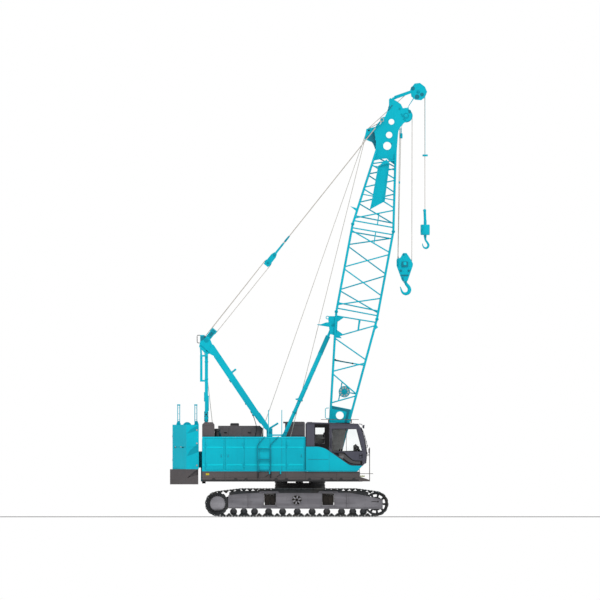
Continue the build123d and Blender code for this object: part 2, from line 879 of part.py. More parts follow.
def cab_outline(inset):
    """The cab's side view, smaller all round by an inset, as a face."""
    with BuildLine() as edge:
        FilletPolyline(
            (cab_rear_x, deck_top_z),
            cab_rear_top,
            *cab_front_points,
            radius=60,
            close=True,
        )
    make_face(edge.edges())
    if inset:
        offset(amount=-inset, mode=Mode.REPLACE)


def swoop_region(drop, low_z):
    """The part of the side below the swooping line, lowered by a drop."""
    with BuildLine() as edge:
        line = FilletPolyline(*[(x, z - drop) for x, z in swoop_points], radius=swoop_radii)
        Polyline(line @ 1, (2400, swoop_points[-1][1] - drop), (2400, low_z), (cab_rear_x, low_z), line @ 0)
    make_face(edge.edges())


door_rear_x = 995
door_front_x = 2085
cab_hinge_x = door_rear_x + hinge_inset
cab_hinge_places = (2380, 2900)
window_bottom_z = 2200
door_window = [(1075, 2933), (1895, 2937), (2075, 2222), (2075, window_bottom_z), (1075, window_bottom_z)]
left_window = [(1550, 2930), (1895, 2937), (2075, 2222), (1425, window_bottom_z), (1435, 2400)]
rear_window = [(514, 2984), (823, 2984), (823, 2440), (514, 2440)]
left_rear_window = [(514, 2984), (823, 2984), (823, 2762), (514, 2762)]
windscreen_z = (2120, 3010)
foot_window_z = (1760, 2060)


def door_region(clearance):
    """The door's side view between the roof rail and the swooping line."""
    with BuildLine() as edge:
        Polyline(
            (door_rear_x + clearance, 1500),
            (door_rear_x + clearance, 3060 - clearance),
            (1925 - clearance, 3050 - clearance),
            (2085 - clearance, 2500),
            (door_front_x + 25 - clearance, 2100),
            (door_front_x + 10 - clearance, 1500),
            close=True,
        )
    make_face(edge.edges())


def polygon(points):
    """A face from a list of corners."""
    with BuildLine() as edge:
        Polyline(*points, close=True)
    make_face(edge.edges())


with BuildPart() as cab_shell:
    with BuildSketch(side_plane(-cab_inner_y)):
        cab_outline(0)
    extrude(amount=cab_outer_y - cab_inner_y)
    with BuildSketch(side_plane(-cab_inner_y - cab_wall)):
        cab_outline(cab_wall)
    extrude(amount=cab_outer_y - cab_inner_y - 2 * cab_wall, mode=Mode.SUBTRACT)
    # Door opening and window beside it, in the outer side
    with BuildSketch(side_plane(-cab_outer_y + cab_wall + 1)):
        door_region(0)
        with BuildSketch(mode=Mode.PRIVATE) as below_door:
            swoop_region(-2, 1000)
        add(below_door.sketch, mode=Mode.SUBTRACT)
    extrude(amount=cab_wall + 2, mode=Mode.SUBTRACT)
    with BuildSketch(side_plane(-cab_outer_y + cab_wall + 1)):
        polygon(rear_window)
    extrude(amount=cab_wall + 2, mode=Mode.SUBTRACT)
    # Windows in the side towards the boom
    for window in (left_window, left_rear_window):
        with BuildSketch(side_plane(-cab_inner_y + 1)):
            polygon(window)
        extrude(amount=cab_wall + 2, mode=Mode.SUBTRACT)
    # Windscreen and foot window
    pillar = 70
    for low_z, high_z in (windscreen_z, foot_window_z):
        block(
            (1990, 2400),
            (-cab_outer_y + pillar, -cab_inner_y - pillar),
            (low_z, high_z),
            Mode.SUBTRACT,
        )
    for hinge_z in cab_hinge_places:
        high_z = hinge_z - hinge_height / 2 - seat_gap
        low_z = high_z - 60
        hinge_half(cab_hinge_x, door_rear_x - 26, -cab_outer_y, -1, low_z, high_z, 0.5)
        foot_y = (-cab_outer_y - hinge_strap, -cab_outer_y)
        block((door_rear_x - 26, door_rear_x - door_gap), foot_y, (low_z, high_z))
finish(cab_shell, "cab_shell")

panel_thickness = 24
with BuildPart() as cab_side_panel:
    with BuildSketch(side_plane(-cab_outer_y - seat_gap)):
        cab_outline(0)
        with BuildSketch(mode=Mode.PRIVATE) as below_swoop:
            swoop_region(0, 1000)
        add(below_swoop.sketch, mode=Mode.INTERSECT)
    extrude(amount=panel_thickness)
finish(cab_side_panel, "cab_side_panel")

with BuildPart() as cab_door:
    with BuildSketch(side_plane(-cab_outer_y + cab_wall)):
        door_region(run_gap)
        with BuildSketch(mode=Mode.PRIVATE) as below_door:
            swoop_region(-2 - run_gap, 1000)
        add(below_door.sketch, mode=Mode.SUBTRACT)
    extrude(amount=cab_wall)
    with BuildSketch(side_plane(-cab_outer_y + cab_wall + 1)):
        polygon(door_window)
    extrude(amount=cab_wall + 2, mode=Mode.SUBTRACT)
    for hinge_z in cab_hinge_places:
        half = hinge_height / 2
        hinge_half(cab_hinge_x, cab_hinge_x + 50, -cab_outer_y, -1, hinge_z - half, hinge_z + half, 0)
    block((2000, 2072), (-cab_outer_y - 22, -cab_outer_y), (1966, 2106))
finish(cab_door, "cab_door")

with BuildPart() as cab_door_glass:
    with BuildSketch(side_plane(-cab_outer_y + glass_inset + glass_thickness)):
        polygon(door_window)
        offset(amount=-seat_gap, mode=Mode.REPLACE)
    extrude(amount=glass_thickness)
finish(cab_door_glass, "cab_door_glass")

with BuildPart() as cab_glass:
    with BuildSketch(side_plane(-cab_inner_y - pillar - seat_gap)):
        cab_outline(glass_inset)
    extrude(amount=cab_outer_y - cab_inner_y - 2 * pillar - 2 * seat_gap)
    with BuildSketch(side_plane(-cab_inner_y)):
        cab_outline(glass_inset + glass_thickness)
    extrude(amount=cab_outer_y - cab_inner_y, mode=Mode.SUBTRACT)
    with BuildSketch(side_plane(-cab_inner_y)):
        for low_z, high_z in (windscreen_z, foot_window_z):
            with Locations((2200, (low_z + high_z) / 2)):
                Rectangle(400, high_z - low_z - 2 * seat_gap)
    extrude(amount=cab_outer_y - cab_inner_y, mode=Mode.INTERSECT)
    for window in (left_window, left_rear_window):
        with BuildSketch(side_plane(-cab_inner_y - glass_inset)):
            polygon(window)
            offset(amount=-seat_gap, mode=Mode.REPLACE)
        extrude(amount=glass_thickness)
    with BuildSketch(side_plane(-cab_outer_y + glass_inset + glass_thickness)):
        polygon(rear_window)
        offset(amount=-seat_gap, mode=Mode.REPLACE)
    extrude(amount=glass_thickness)
finish(cab_glass, "cab_glass")

seat_y = (-1420, -920)
cab_floor_z = deck_top_z + cab_wall
with BuildPart() as cab_seat:
    block((900, 1200), (-1320, -1020), (cab_floor_z, 1850))
    plate([(780, 1850), (780, 2000), (1330, 2010), (1400, 1950), (1380, 1850)], *seat_y)
    plate([(780, 1950), (700, 2620), (790, 2860), (880, 2850), (900, 2600), (940, 1990)], *seat_y)
finish(cab_seat, "cab_seat")

with BuildPart() as cab_console:
    plate(
        [(1790, cab_floor_z), (1790, 2390), (1850, 2405), (1950, 2370), (2030, 2220), (2000, 1900), (1850, cab_floor_z)],
        -1400,
        -940,
    )
finish(cab_console, "cab_console")

with BuildPart() as roof_guard:
    block((700, 1976), (-1560, -780), (3250, 3268))
    for leg_x in (964, 1720):
        for leg_y in (-1500, -840):
            block((leg_x - 22, leg_x + 22), (leg_y - 22, leg_y + 22), (3140, 3250))
    with BuildSketch(side_plane(-cab_inner_y)):
        cab_outline(0)
    extrude(amount=cab_outer_y - cab_inner_y, mode=Mode.SUBTRACT)
finish(roof_guard, "cab_roof_guard")

with BuildPart() as mirror_rail:
    rail_y = -1540
    pole_x = 2339
    link_z = 2090
    bar((pole_x, rail_y, 1210), (pole_x, rail_y, 2300), 26)
    plate(step_outline, rail_y - 30, rail_y + 30, Mode.SUBTRACT)
    bar((2200, rail_y, link_z), (pole_x, rail_y, link_z), 18)
    with BuildSketch(side_plane(rail_y + 30)):
        cab_outline(0)
    extrude(amount=60, mode=Mode.SUBTRACT)
    bar((deck_front_x, rail_y, 1440), (2456, rail_y, 1440), 18)
    block((pole_x - 14, pole_x + 14), (rail_y - 150, rail_y + 30), (2075, 2318))
finish(mirror_rail, "mirror_rail")

with BuildPart() as side_ladder:
    ladder_y = -house_outer_y - 60
    for points in (
        [(-1180, 2690), (-1425, 2400), (-1415, 2000), (-1400, 1290)],
        [(-720, 2690), (-985, 2420), (-975, 2000), (-985, 1290)],
    ):
        for (x_from, z_from), (x_to, z_to) in zip(points, points[1:]):
            bar((x_from, ladder_y, z_from), (x_to, ladder_y, z_to), 34)
        (x_top, z_top), (x_bend, z_bend), (x_low, z_low), _ = points
        bracket_z = 2600
        bracket_x = x_top + (x_bend - x_top) * (z_top - bracket_z) / (z_top - z_bend)
        bar((bracket_x, ladder_y, bracket_z), (bracket_x, -house_outer_y, bracket_z), 28)
        bar((x_low, ladder_y, z_low), (x_low, -house_outer_y, z_low), 28)
    for rung_z in (2270, 1910, 1550):
        bar((-1420, ladder_y, rung_z), (-980, ladder_y, rung_z), 34)
    for post_x in (-1058, -612):
        bar((post_x, -house_outer_y + 90, house_top_z), (post_x, -house_outer_y + 90, 3580), 26)
finish(side_ladder, "side_ladder")


# Boom
def boom_place(along, forward):
    """The (x, z) of a place given along the boom and forward of its axis."""
    turn = radians(boom_angle)
    x = foot_x + along * cos(turn) + forward * sin(turn)
    z = foot_z + along * sin(turn) - forward * cos(turn)
    return (x, z)


def boom_point(along, forward, y):
    """The same with its place across the machine."""
    x, z = boom_place(along, forward)
    return (x, y, z)


def boom_plate(points, inner_y, outer_y, mode=Mode.ADD):
    """A flat piece on both sides of the boom, its corners in boom places."""
    plate_pair([boom_place(*point) for point in points], inner_y, outer_y, mode)


insert_start = base_length
insert_end = base_length + insert_length
tip_end = insert_end + tip_length


def rear_line(along):
    """How far behind the boom's axis the rear chords lie."""
    if along <= insert_start:
        return -foot_half_depth - (rear_depth - foot_half_depth) * along / base_length
    if along <= insert_end:
        return -rear_depth
    return -rear_depth + (rear_depth - tip_rear_depth) * (along - insert_end) / tip_length


def front_line(along):
    """How far forward of the boom's axis the front chords lie."""
    if along <= insert_start:
        return foot_half_depth + (front_depth - foot_half_depth) * along / base_length
    if along <= insert_end:
        return front_depth
    return front_depth - (front_depth - tip_front_depth) * (along - insert_end) / tip_length


def half_width(along):
    """The chords' distance from the machine's middle."""
    if along <= insert_end:
        return boom_half_width
    return boom_half_width - (boom_half_width - tip_half_width) * (along - insert_end) / tip_length


def chords(start, end):
    """The four chords of a section."""
    for line in (rear_line, front_line):
        for side in (-1, 1):
            bar(
                boom_point(start, line(start), side * half_width(start)),
                boom_point(end, line(end), side * half_width(end)),
                chord_diameter,
            )


def side_lacing(places, side):
    """Lacing in a side face, from a place on the rear chord to one on the front."""
    for rear, front in places:
        bar(
            boom_point(rear, rear_line(rear), side * half_width(rear)),
            boom_point(front, front_line(front), side * half_width(front)),
            lacing_diameter,
        )


def face_lacing(places, line):
    """Lacing that zigzags between the two chords of the rear or front face."""
    side = 1
    for start, end in zip(places, places[1:]):
        bar(
            boom_point(start, line(start), side * half_width(start)),
            boom_point(end, line(end), -side * half_width(end)),
            lacing_diameter,
        )
        side = -side


def cross_bars(places, line):
    """Bars straight across between the two chords of a face."""
    for along in places:
        bar(
            boom_point(along, line(along), -half_width(along)),
            boom_point(along, line(along), half_width(along)),
            lacing_diameter,
        )


def joint_ears(along, forked, toward):
    """Pinned ears that join two sections, one on each chord."""
    reach = joint_gap + 70
    for line in (rear_line, front_line):
        for side in (-1, 1):
            x, z = boom_place(along, line(along))
            back = along + toward * reach
            ear = [
                boom_place(along, line(along) - joint_half_depth),
                boom_place(back, line(back) - joint_half_depth),
                boom_place(back, line(back) + joint_half_depth),
                boom_place(along, line(along) + joint_half_depth),
            ]
            middle = side * half_width(along)
            leaves = ((-48, -24), (24, 48)) if forked else ((-24 + seat_gap, 24 - seat_gap),)
            for low, high in leaves:
                plate(ear, middle + low, middle + high)
                disc(x, z, 60, middle + low, middle + high)
            if forked:
                disc(x, z, joint_pin_radius, middle - 60, middle + 60)
            else:
                bore = joint_pin_radius + seat_gap
                disc(x, z, bore, middle - 24, middle + 24, Mode.SUBTRACT)


joint_gap = 70
joint_half_depth = 36
joint_pin_radius = 22
with BuildPart() as boom_base:
    chords(0, base_length - joint_gap)
    for side in (-1, 1):
        side_lacing(
            [(5120, 5150), (4415, 5040), (4375, 3850), (3640, 3660), (3270, 3740), (3185, 2660), (2215, 2600)],
            side,
        )
        bar(
            boom_point(5135, 22, side * boom_half_width),
            boom_point(4830, 22, side * boom_half_width),
            36,
        )
    face_lacing([2215, 3185, 4375, 5120], rear_line)
    face_lacing([2160, 2660, 3300, 3850, 4450, 5150], front_line)
    cross_bars([2215, 5120], rear_line)
    cross_bars([2160, 5150], front_line)
    # Foot: side plates with a round window, and the eyes on the foot pins
    web_outer_y = boom_half_width + 12
    web_inner_y = boom_half_width - 12
    boom_plate(
        [(0, -foot_half_depth), (2130, rear_line(2130)), (2120, front_line(2120)), (0, foot_half_depth)],
        web_inner_y,
        web_outer_y,
    )
    disc_pair(*boom_place(1855, -63), 129, web_inner_y - 5, web_outer_y + 5, Mode.SUBTRACT)
    eye_inner_y = foot_lug_inner[1] + run_gap
    eye_outer_y = foot_lug_outer[0] - run_gap
    disc_pair(foot_x, foot_z, foot_eye_radius + 45, eye_inner_y, eye_outer_y)
    disc_pair(foot_x, foot_z, foot_pin_radius + bore_gap, 500, frame_half_width, Mode.SUBTRACT)
    bar(boom_point(900, 0, -boom_half_width), boom_point(900, 0, boom_half_width), 140)
    # Backstop brackets, with a round eye and a pointed striker
    bracket = [(4460, -650), (4480, -900), (4990, -1050), (5064, -1060), (5120, -740)]
    boom_plate(bracket, bracket_inner_y, bracket_outer_y)
    disc_pair(*boom_place(5010, -1075), 60, bracket_inner_y, bracket_outer_y)
    disc_pair(*boom_place(5010, -1075), 34, bracket_inner_y - 5, bracket_outer_y + 5, Mode.SUBTRACT)
    striker = [(4820, -960), (4715, -1385), (4700, -1370), (4710, -930)]
    boom_plate(striker, bracket_inner_y, bracket_outer_y)
    # Gussets behind the top lacing
    boom_plate([(5140, -800), (5130, -560), (4930, -790)], 568, 592)
    boom_plate([(4390, -700), (4415, -470), (4620, -740)], 568, 592)
    # Cable reel between its posts
    bar(boom_point(2950, -195, -520), boom_point(2345, -195, -520), 40)
    disc(*boom_place(2665, -60), 192, -570, -512)
    bar(boom_point(2950, -195, -520), boom_point(2950, -195, -575), 30)
    reel_bar_front = boom_point(2665, front_line(2665), -540)
    bar(boom_point(2665, -60, -540), reel_bar_front, 40)
    joint_ears(base_length, False, -1)
finish(boom_base, "boom_base")

with BuildPart() as boom_insert:
    chords(insert_start + joint_gap, insert_end - joint_gap)
    side_lacing([(5380, 5380), (5500, 5975), (6720, 6065), (6795, 7470), (8040, 7545), (8130, 8150)], -1)
    side_lacing([(5565, 5540), (5970, 5475), (6020, 6740), (7485, 6810), (7555, 8030), (7990, 8010)], 1)
    for line in (rear_line, front_line):
        face_lacing([5400, 6060, 6740, 7420, 8120], line)
        cross_bars([5400, 8120], line)
    bar(boom_point(8140, -12, -boom_half_width), boom_point(7750, 2, -boom_half_width), 36)
    joint_ears(insert_start, True, 1)
    joint_ears(insert_end, False, -1)
finish(boom_insert, "boom_insert")

# Boom tip: a tapering lattice that ends in two solid head plates
head_outline = [
    (10640, -500),
    (11120, -560),
    (11500, -700),
    (11812, -464),
    (12159, -382),
    (12390, -357),
    (12591, -394),
    (12649, -361),
    (12601, -160),
    (12513, 31),
    (12391, 125),
    (12429, 238),
    (12370, 400),
    (12215, 470),
    (12060, 450),
    (11908, 250),
    (11774, 169),
    (11606, 115),
    (11435, 130),
    (10806, 200),
    (10640, 215),
]
head_holes = ((11048, -164, 134), (11420, -168, 107), (11870, -174, 96))
head_outer_y = head_plate_inner_y + head_plate
with BuildPart() as boom_tip:
    chords(insert_end + joint_gap, tip_end)
    near_lacing = [
        (8376, 8388),
        (8465, 8963),
        (9480, 9040),
        (9545, 9960),
        (10330, 10010),
        (10370, 10620),
    ]
    far_lacing = [
        (8541, 8531),
        (8966, 8514),
        (9020, 9500),
        (9960, 9560),
        (10010, 10350),
        (10640, 10400),
    ]
    side_lacing(near_lacing, -1)
    side_lacing(far_lacing, 1)
    for line in (rear_line, front_line):
        face_lacing([8400, 8960, 9500, 10000, 10450], line)
        cross_bars([8400, 10600], line)
    link_y = -half_width(8570)
    bar(boom_point(8755, -16, link_y), boom_point(8382, -2, link_y), 36)
    joint_ears(insert_end, True, 1)
    boom_plate(head_outline, head_plate_inner_y, head_outer_y)
    for along, forward, radius in head_holes:
        x, z = boom_place(along, forward)
        disc_pair(x, z, radius, head_plate_inner_y - 60, head_outer_y + 60, Mode.SUBTRACT)
    # Rope guide horn behind the head
    horn = [(11050, -560), (11122, -940), (11160, -960), (11480, -956), (11600, -690), (11500, -600)]
    boom_plate(horn, 200, 225)
    horn_x, horn_z = boom_place(11300, -800)
    disc(horn_x, horn_z, 110, -200, 200)
    bar(boom_point(11130, -700, -225), boom_point(11130, -700, 225), 60)
    bar(boom_point(11200, -560, -head_outer_y), boom_point(11200, -560, head_outer_y), 90)
    # Cross members of the head
    for along, forward, size in ((10900, -430, 90), (11650, -330, 90), (12470, -250, 90), (11700, 0, 110)):
        bar(
            boom_point(along, forward, -head_outer_y),
            boom_point(along, forward, head_outer_y),
            size,
        )
    point_x, point_z = boom_place(point_along, point_forward)
    disc(point_x, point_z, point_pin_radius, -head_outer_y, head_outer_y)
    # Pendant lugs: bosses on the outer faces of the head plates
    boss_outer_y = pendant_head_y - pendant_eye / 2 - seat_gap
    disc_pair(*boom_place(pendant_along, pendant_forward), 62, head_outer_y - 5, boss_outer_y)
    lug = [(11740, -470), (11840, -560), (11930, -560), (12010, -400), (11840, -400)]
    boom_plate(lug, head_plate_inner_y, head_outer_y)
    # Blank plate on the near side, for a name, and its small striker behind
    sign = [(10339, -338), (9168, -331), (8841, -342), (9203, 96), (10498, 21)]
    sign_y = -half_width(9700) - 48
    plate([boom_place(*point) for point in sign], sign_y - 8, sign_y)
    for along, forward in ((9300, -300), (9300, 60), (10300, -300), (10300, 0)):
        y = -half_width(along)
        bar(boom_point(along, forward, y), boom_point(along, forward, sign_y), 24)
    for along in (9300, 10300):
        y = -half_width(along)
        bar(boom_point(along, rear_line(along), y), boom_point(along, front_line(along), y), 36)
    spike = [(8830, -1020), (8800, -760), (8700, -780)]
    plate([boom_place(*point) for point in spike], -half_width(8800) - 12, -half_width(8800) + 12)
finish(boom_tip, "boom_tip")

with BuildPart() as point_sheaves:
    for sheave_y in (-130, 0, 130):
        for radius, low, high in (
            (point_sheave_radius, -30, -18),
            (point_sheave_radius - 30, -30, 30),
            (point_sheave_radius, 18, 30),
        ):
            disc(point_x, point_z, radius, sheave_y + low, sheave_y + high)
    disc(point_x, point_z, 80, -sheave_hub_y, sheave_hub_y)
    disc(
        point_x,
        point_z,
        point_pin_radius + bore_gap,
        -head_plate_inner_y,
        head_plate_inner_y,
        Mode.SUBTRACT,
    )
finish(point_sheaves, "point_sheaves")

# Auxiliary jib with its single sheave
jib_inner_y = 56
jib_outer_y = 70
aux_sheave_x, aux_sheave_z = boom_place(aux_along, aux_forward)
guard_outline = [
    (3700, 14350),
    (3850, 14550),
    (4030, 14570),
    (4200, 14440),
    (4272, 14270),
    (4200, 14080),
    (4070, 13985),
    (3870, 14000),
    (3740, 14110),
]
with BuildPart() as aux_jib:
    plate_pair(guard_outline, jib_inner_y, jib_outer_y)
    boom_plate([(12650, -240), (12740, -240), (13040, 285), (12960, 310)], jib_inner_y - 18, jib_outer_y)
    boom_plate([(12410, 270), (12500, 290), (12930, 450), (12890, 480)], jib_inner_y, jib_outer_y)
    for along, forward in ((12700, -200), (12800, 0)):
        bar(boom_point(along, forward, -jib_outer_y), boom_point(along, forward, jib_outer_y), 60)
    # Feet across the head plates
    for along, forward, size in ((12662, -250, 70), (12425, 290, 60)):
        bar(boom_point(along, forward, -head_outer_y), boom_point(along, forward, head_outer_y), size)
    disc(aux_sheave_x, aux_sheave_z, aux_pin_radius, -jib_outer_y, jib_outer_y)
    boom_plate(head_outline, head_plate_inner_y, head_outer_y, Mode.SUBTRACT)
finish(aux_jib, "aux_jib")

with BuildPart() as aux_sheave:
    for radius, low, high in (
        (aux_sheave_radius, -30, -18),
        (aux_sheave_radius - 30, -30, 30),
        (aux_sheave_radius, 18, 30),
    ):
        disc(aux_sheave_x, aux_sheave_z, radius, low, high)
    disc(aux_sheave_x, aux_sheave_z, aux_pin_radius + bore_gap, -31, 31, Mode.SUBTRACT)
finish(aux_sheave, "aux_sheave")

# Boom hoist spreaders and the pendants to the boom head
lug_x, lug_z = boom_place(pendant_along, pendant_forward)
stay_turn = atan2(lug_z - gantry_head[1], lug_x - gantry_head[0])
stay_reach = hypot(lug_x - gantry_head[0], lug_z - gantry_head[1])


def stay_place(distance, offset=0):
    """A place along the line from the gantry's head pin to the pendant lug."""
    x = gantry_head[0] + distance * cos(stay_turn) - offset * sin(stay_turn)
    z = gantry_head[1] + distance * sin(stay_turn) + offset * cos(stay_turn)
    return (x, z)


def stay_plate(points, inner_y, outer_y, mode=Mode.ADD):
    """A flat pair whose corners are given along and beside the stay line."""
    plate_pair([stay_place(*point) for point in points], inner_y, outer_y, mode)


def sheave_nest(distance, radius, half_span, count):
    """A row of sheaves on one pin."""
    x, z = stay_place(distance)
    for index in range(count):
        middle = -half_span + (index + 0.5) * 2 * half_span / count
        disc(x, z, radius, middle - 18, middle + 18)
    disc(x, z, 45, -half_span - 30, half_span + 30)


with BuildPart() as lower_spreader:
    cheek = [(-60, -60), (-60, 60), (0, 91), (454, 91), (454, -91), (0, -91)]
    stay_plate(cheek, spreader_half_width - 30, spreader_half_width)
    sheave_nest(350, 105, spreader_half_width - 30, 5)
    x, z = stay_place(150)
    disc(x, z, 50, -spreader_half_width, spreader_half_width)
    disc(*gantry_head, 50 + bore_gap, -spreader_half_width - 1, spreader_half_width + 1, Mode.SUBTRACT)
finish(lower_spreader, "lower_spreader")

with BuildPart() as upper_spreader:
    start, end, link = stay_block_start, stay_block_end, stay_link_end
    cheek = [(start, -95), (start, 95), (end - 120, 95), (end, 50), (end, -50), (end - 120, -95)]
    stay_plate(cheek, 220, 250)
    sheave_nest(start + 120, 120, 220, 5)
    neck = [(end - 60, -40), (end - 60, 40), (link, 30), (link, -30)]
    stay_plate(neck, 226, 250)
    x, z = stay_place(end - 80)
    disc(x, z, 45, -250, 250)
    x, z = stay_place(link - 100)
    disc(x, z, 30, -250, 250)
finish(upper_spreader, "upper_spreader")

with BuildPart() as pendants:
    for side in (-1, 1):
        near_x, near_z = stay_place(stay_link_end + 40)
        far_x, far_z = stay_place(stay_reach - 90)
        near = (near_x, side * 238, near_z)
        far = (far_x, side * pendant_head_y, far_z)
        bar(near, far, pendant_diameter)
        eye_y = (pendant_head_y - pendant_eye / 2, pendant_head_y + pendant_eye / 2)
        if side < 0:
            eye_y = (-eye_y[1], -eye_y[0])
        disc(lug_x, lug_z, 66, *eye_y)
        plate(
            [stay_place(stay_reach - 180, -22), stay_place(stay_reach - 180, 22), stay_place(stay_reach - 20, 40), stay_place(stay_reach - 20, -40)],
            *eye_y,
        )
        socket_y = sorted((side * 222, side * 250))
        plate(
            [stay_place(stay_link_end + seat_gap, -34), stay_place(stay_link_end + seat_gap, 34), stay_place(stay_link_end + 140, 20), stay_place(stay_link_end + 140, -20)],
            *socket_y,
        )
finish(pendants, "pendants")

# Telescopic backstops
stop_head_x, stop_head_z = boom_place(backstop_along, backstop_forward)
stop_turn = atan2(stop_head_z - backstop_foot[1], stop_head_x - backstop_foot[0])
stop_reach = hypot(stop_head_x - backstop_foot[0], stop_head_z - backstop_foot[1])
sleeve_start = 1300
sleeve_end = stop_reach - 400
rod_end = sleeve_end - 100


def stop_place(distance, offset=0):
    """A place along a backstop, from its foot pin towards the boom."""
    x = backstop_foot[0] + distance * cos(stop_turn) - offset * sin(stop_turn)
    z = backstop_foot[1] + distance * sin(stop_turn) + offset * cos(stop_turn)
    return (x, z)


def stop_tube(start, end, diameter, side, mode=Mode.ADD):
    """A round length of a backstop."""
    x, z = stop_place(start)
    heading = (cos(stop_turn), 0, sin(stop_turn))
    with BuildSketch(Plane(origin=(x, side * backstop_y, z), z_dir=heading)) as section:
        Circle(diameter / 2)
    extrude(section.sketch, amount=end - start, mode=mode)


with BuildPart() as backstop_rods:
    for side in (-1, 1):
        stop_tube(140, rod_end, backstop_rod_diameter, side)
    eye = [(-50, -50), (-50, 50), (0, 70), (200, 55), (200, -55), (0, -70)]
    eye_half = backstop_eye / 2
    plate_pair(
        [stop_place(*point) for point in eye], backstop_y - eye_half, backstop_y + eye_half
    )
    disc_pair(*backstop_foot, 35 + bore_gap, backstop_y - eye_half, backstop_y + eye_half, Mode.SUBTRACT)
finish(backstop_rods, "backstop_rods")

with BuildPart() as backstop_sleeves:
    head_eye_y = (bracket_inner_y - seat_gap - 30, bracket_inner_y - seat_gap)
    for side in (-1, 1):
        stop_tube(sleeve_start, sleeve_end, backstop_sleeve_diameter, side)
        stop_tube(sleeve_start - 1, sleeve_end - 35, backstop_rod_diameter + 1, side, Mode.SUBTRACT)
    head = [(sleeve_end - 40, -45), (sleeve_end - 40, 45), (stop_reach, 45), (stop_reach, -45)]
    plate_pair([stop_place(*point) for point in head], *head_eye_y)
    disc_pair(stop_head_x, stop_head_z, 62, *head_eye_y)
    # Collars at the sleeves' mouths
    for side in (-1, 1):
        stop_tube(sleeve_start, sleeve_start + 60, backstop_sleeve_diameter + 40, side)
        stop_tube(sleeve_start - 1, sleeve_start + 61, backstop_rod_diameter + 1, side, Mode.SUBTRACT)
finish(backstop_sleeves, "backstop_sleeves")

# Main fall: a stop weight on the rope, then the hook block and its hook
fall_rear_x = 3395
yoke_z = 13050
yoke_y = 176
with BuildPart() as main_stop:
    with Locations((fall_rear_x, 0, 12790)):
        Cylinder(52, 180)
    fillet(main_stop.edges().filter_by(GeomType.CIRCLE), 25)
    bar((fall_rear_x, 0, 12850), (fall_rear_x, 0, yoke_z), 40)
    bar((fall_rear_x, -yoke_y, yoke_z), (fall_rear_x, yoke_y, yoke_z), 24)
    yoke_eye_y = (sheave_hub_y + run_gap, sheave_hub_y + run_gap + 14)
    eye_middle_y = sum(yoke_eye_y) / 2
    for side in (-1, 1):
        bar((fall_rear_x, side * yoke_y, yoke_z), (point_x, side * eye_middle_y, point_z), 12)
    disc_pair(point_x, point_z, 68, *yoke_eye_y)
    yoke_bore = point_pin_radius + bore_gap
    disc_pair(point_x, point_z, yoke_bore, yoke_eye_y[0] - 5, yoke_eye_y[1] + 5, Mode.SUBTRACT)
finish(main_stop, "main_stop_weight")

block_outline = [
    (3460, 8854),
    (3580, 8854),
    (3690, 8690),
    (3797, 8500),
    (3790, 8420),
    (3620, 7920),
    (3590, block_bottom_z),
    (3450, block_bottom_z),
    (3410, 7960),
    (3244, 8420),
    (3242, 8620),
    (3290, 8680),
    (3370, 8690),
]
with BuildPart() as main_block:
    plate_pair(block_outline, 118, 140)
    for sheave_y in (-65, 65):
        for radius, low, high in (
            (block_sheave_radius, -30, -18),
            (block_sheave_radius - 25, -30, 30),
            (block_sheave_radius, 18, 30),
        ):
            disc(block_x, block_sheave_z, radius, sheave_y + low, sheave_y + high)
    disc(block_x, block_sheave_z, 60, -175, 175)
    block_pair((3430, 3620), (140, 160), (8385, 8560))
    block((3440, 3600), (-130, 130), (block_bottom_z, 8040))
    block((3400, 3640), (-130, 130), (8170, 8200))
    bar((3520, -135, 8790), (3520, 135, 8790), 60)
    for pin_x in (3390, 3656):
        bar((pin_x, -150, 8262), (pin_x, 150, 8262), 50)
finish(main_block, "main_hook_block")


def hook_shape(x, z, outer, inner, thickness, neck_z, neck_width):
    """A flat hook: a shank above an open ring, its tip at the rear."""
    half = thickness / 2
    disc(x, z, outer, -half, half)
    disc(x - 0.08 * outer, z + 0.06 * outer, inner, -half - 1, half + 1, Mode.SUBTRACT)
    mouth = [
        (x - 0.08 * outer, z + 0.06 * outer),
        (x - 1.3 * outer, z + 0.62 * outer),
        (x - 1.3 * outer, z + 1.4 * outer),
        (x - 0.12 * outer, z + 1.4 * outer),
    ]
    plate(mouth, -half - 1, half + 1, Mode.SUBTRACT)
    shank = [
        (x - 0.16 * outer, z + outer),
        (x - 0.16 * outer, neck_z),
        (x - 0.16 * outer + neck_width, neck_z),
        (x - 0.16 * outer + neck_width, z + 1.02 * outer),
        (x + 0.62 * outer, z + 0.66 * outer),
        (x + 0.24 * outer, z + 0.44 * outer),
        (x - 0.1 * outer, z + 0.72 * outer),
    ]
    plate(shank, -half, half)


with BuildPart() as main_hook:
    hook_shape(
        block_x + 24, hook_centre_z, hook_outer_radius, hook_inner_radius, 76, block_bottom_z - 40, 62
    )
    with Locations((block_x, 0, block_bottom_z - seat_gap - 20)):
        Cylinder(48, 40)
finish(main_hook, "main_hook")

# Auxiliary fall: a stop disc, the ball weight and a small hook
with BuildPart() as aux_stop:
    with Locations((aux_x, 0, 12133)):
        Cylinder(90, 66)
    fillet(aux_stop.edges().filter_by(GeomType.CIRCLE), 12)
    # Arms on the sheave's pin and the rods that hang from them
    arm_y = (sheave_half_width + 8, sheave_half_width + 18)
    rod_y = sum(arm_y) / 2
    arm = [
        (aux_sheave_x, aux_sheave_z - 20),
        (aux_x + 8, aux_sheave_z - 14),
        (aux_x + 8, aux_sheave_z + 14),
        (aux_sheave_x, aux_sheave_z + 20),
    ]
    plate_pair(arm, *arm_y)
    disc_pair(aux_sheave_x, aux_sheave_z, 58, *arm_y)
    arm_bore = aux_pin_radius + bore_gap
    disc_pair(aux_sheave_x, aux_sheave_z, arm_bore, arm_y[0] - 1, arm_y[1] + 1, Mode.SUBTRACT)
    for side in (-1, 1):
        bar((aux_x, side * rod_y, 12133), (aux_x, side * rod_y, aux_sheave_z), 9)
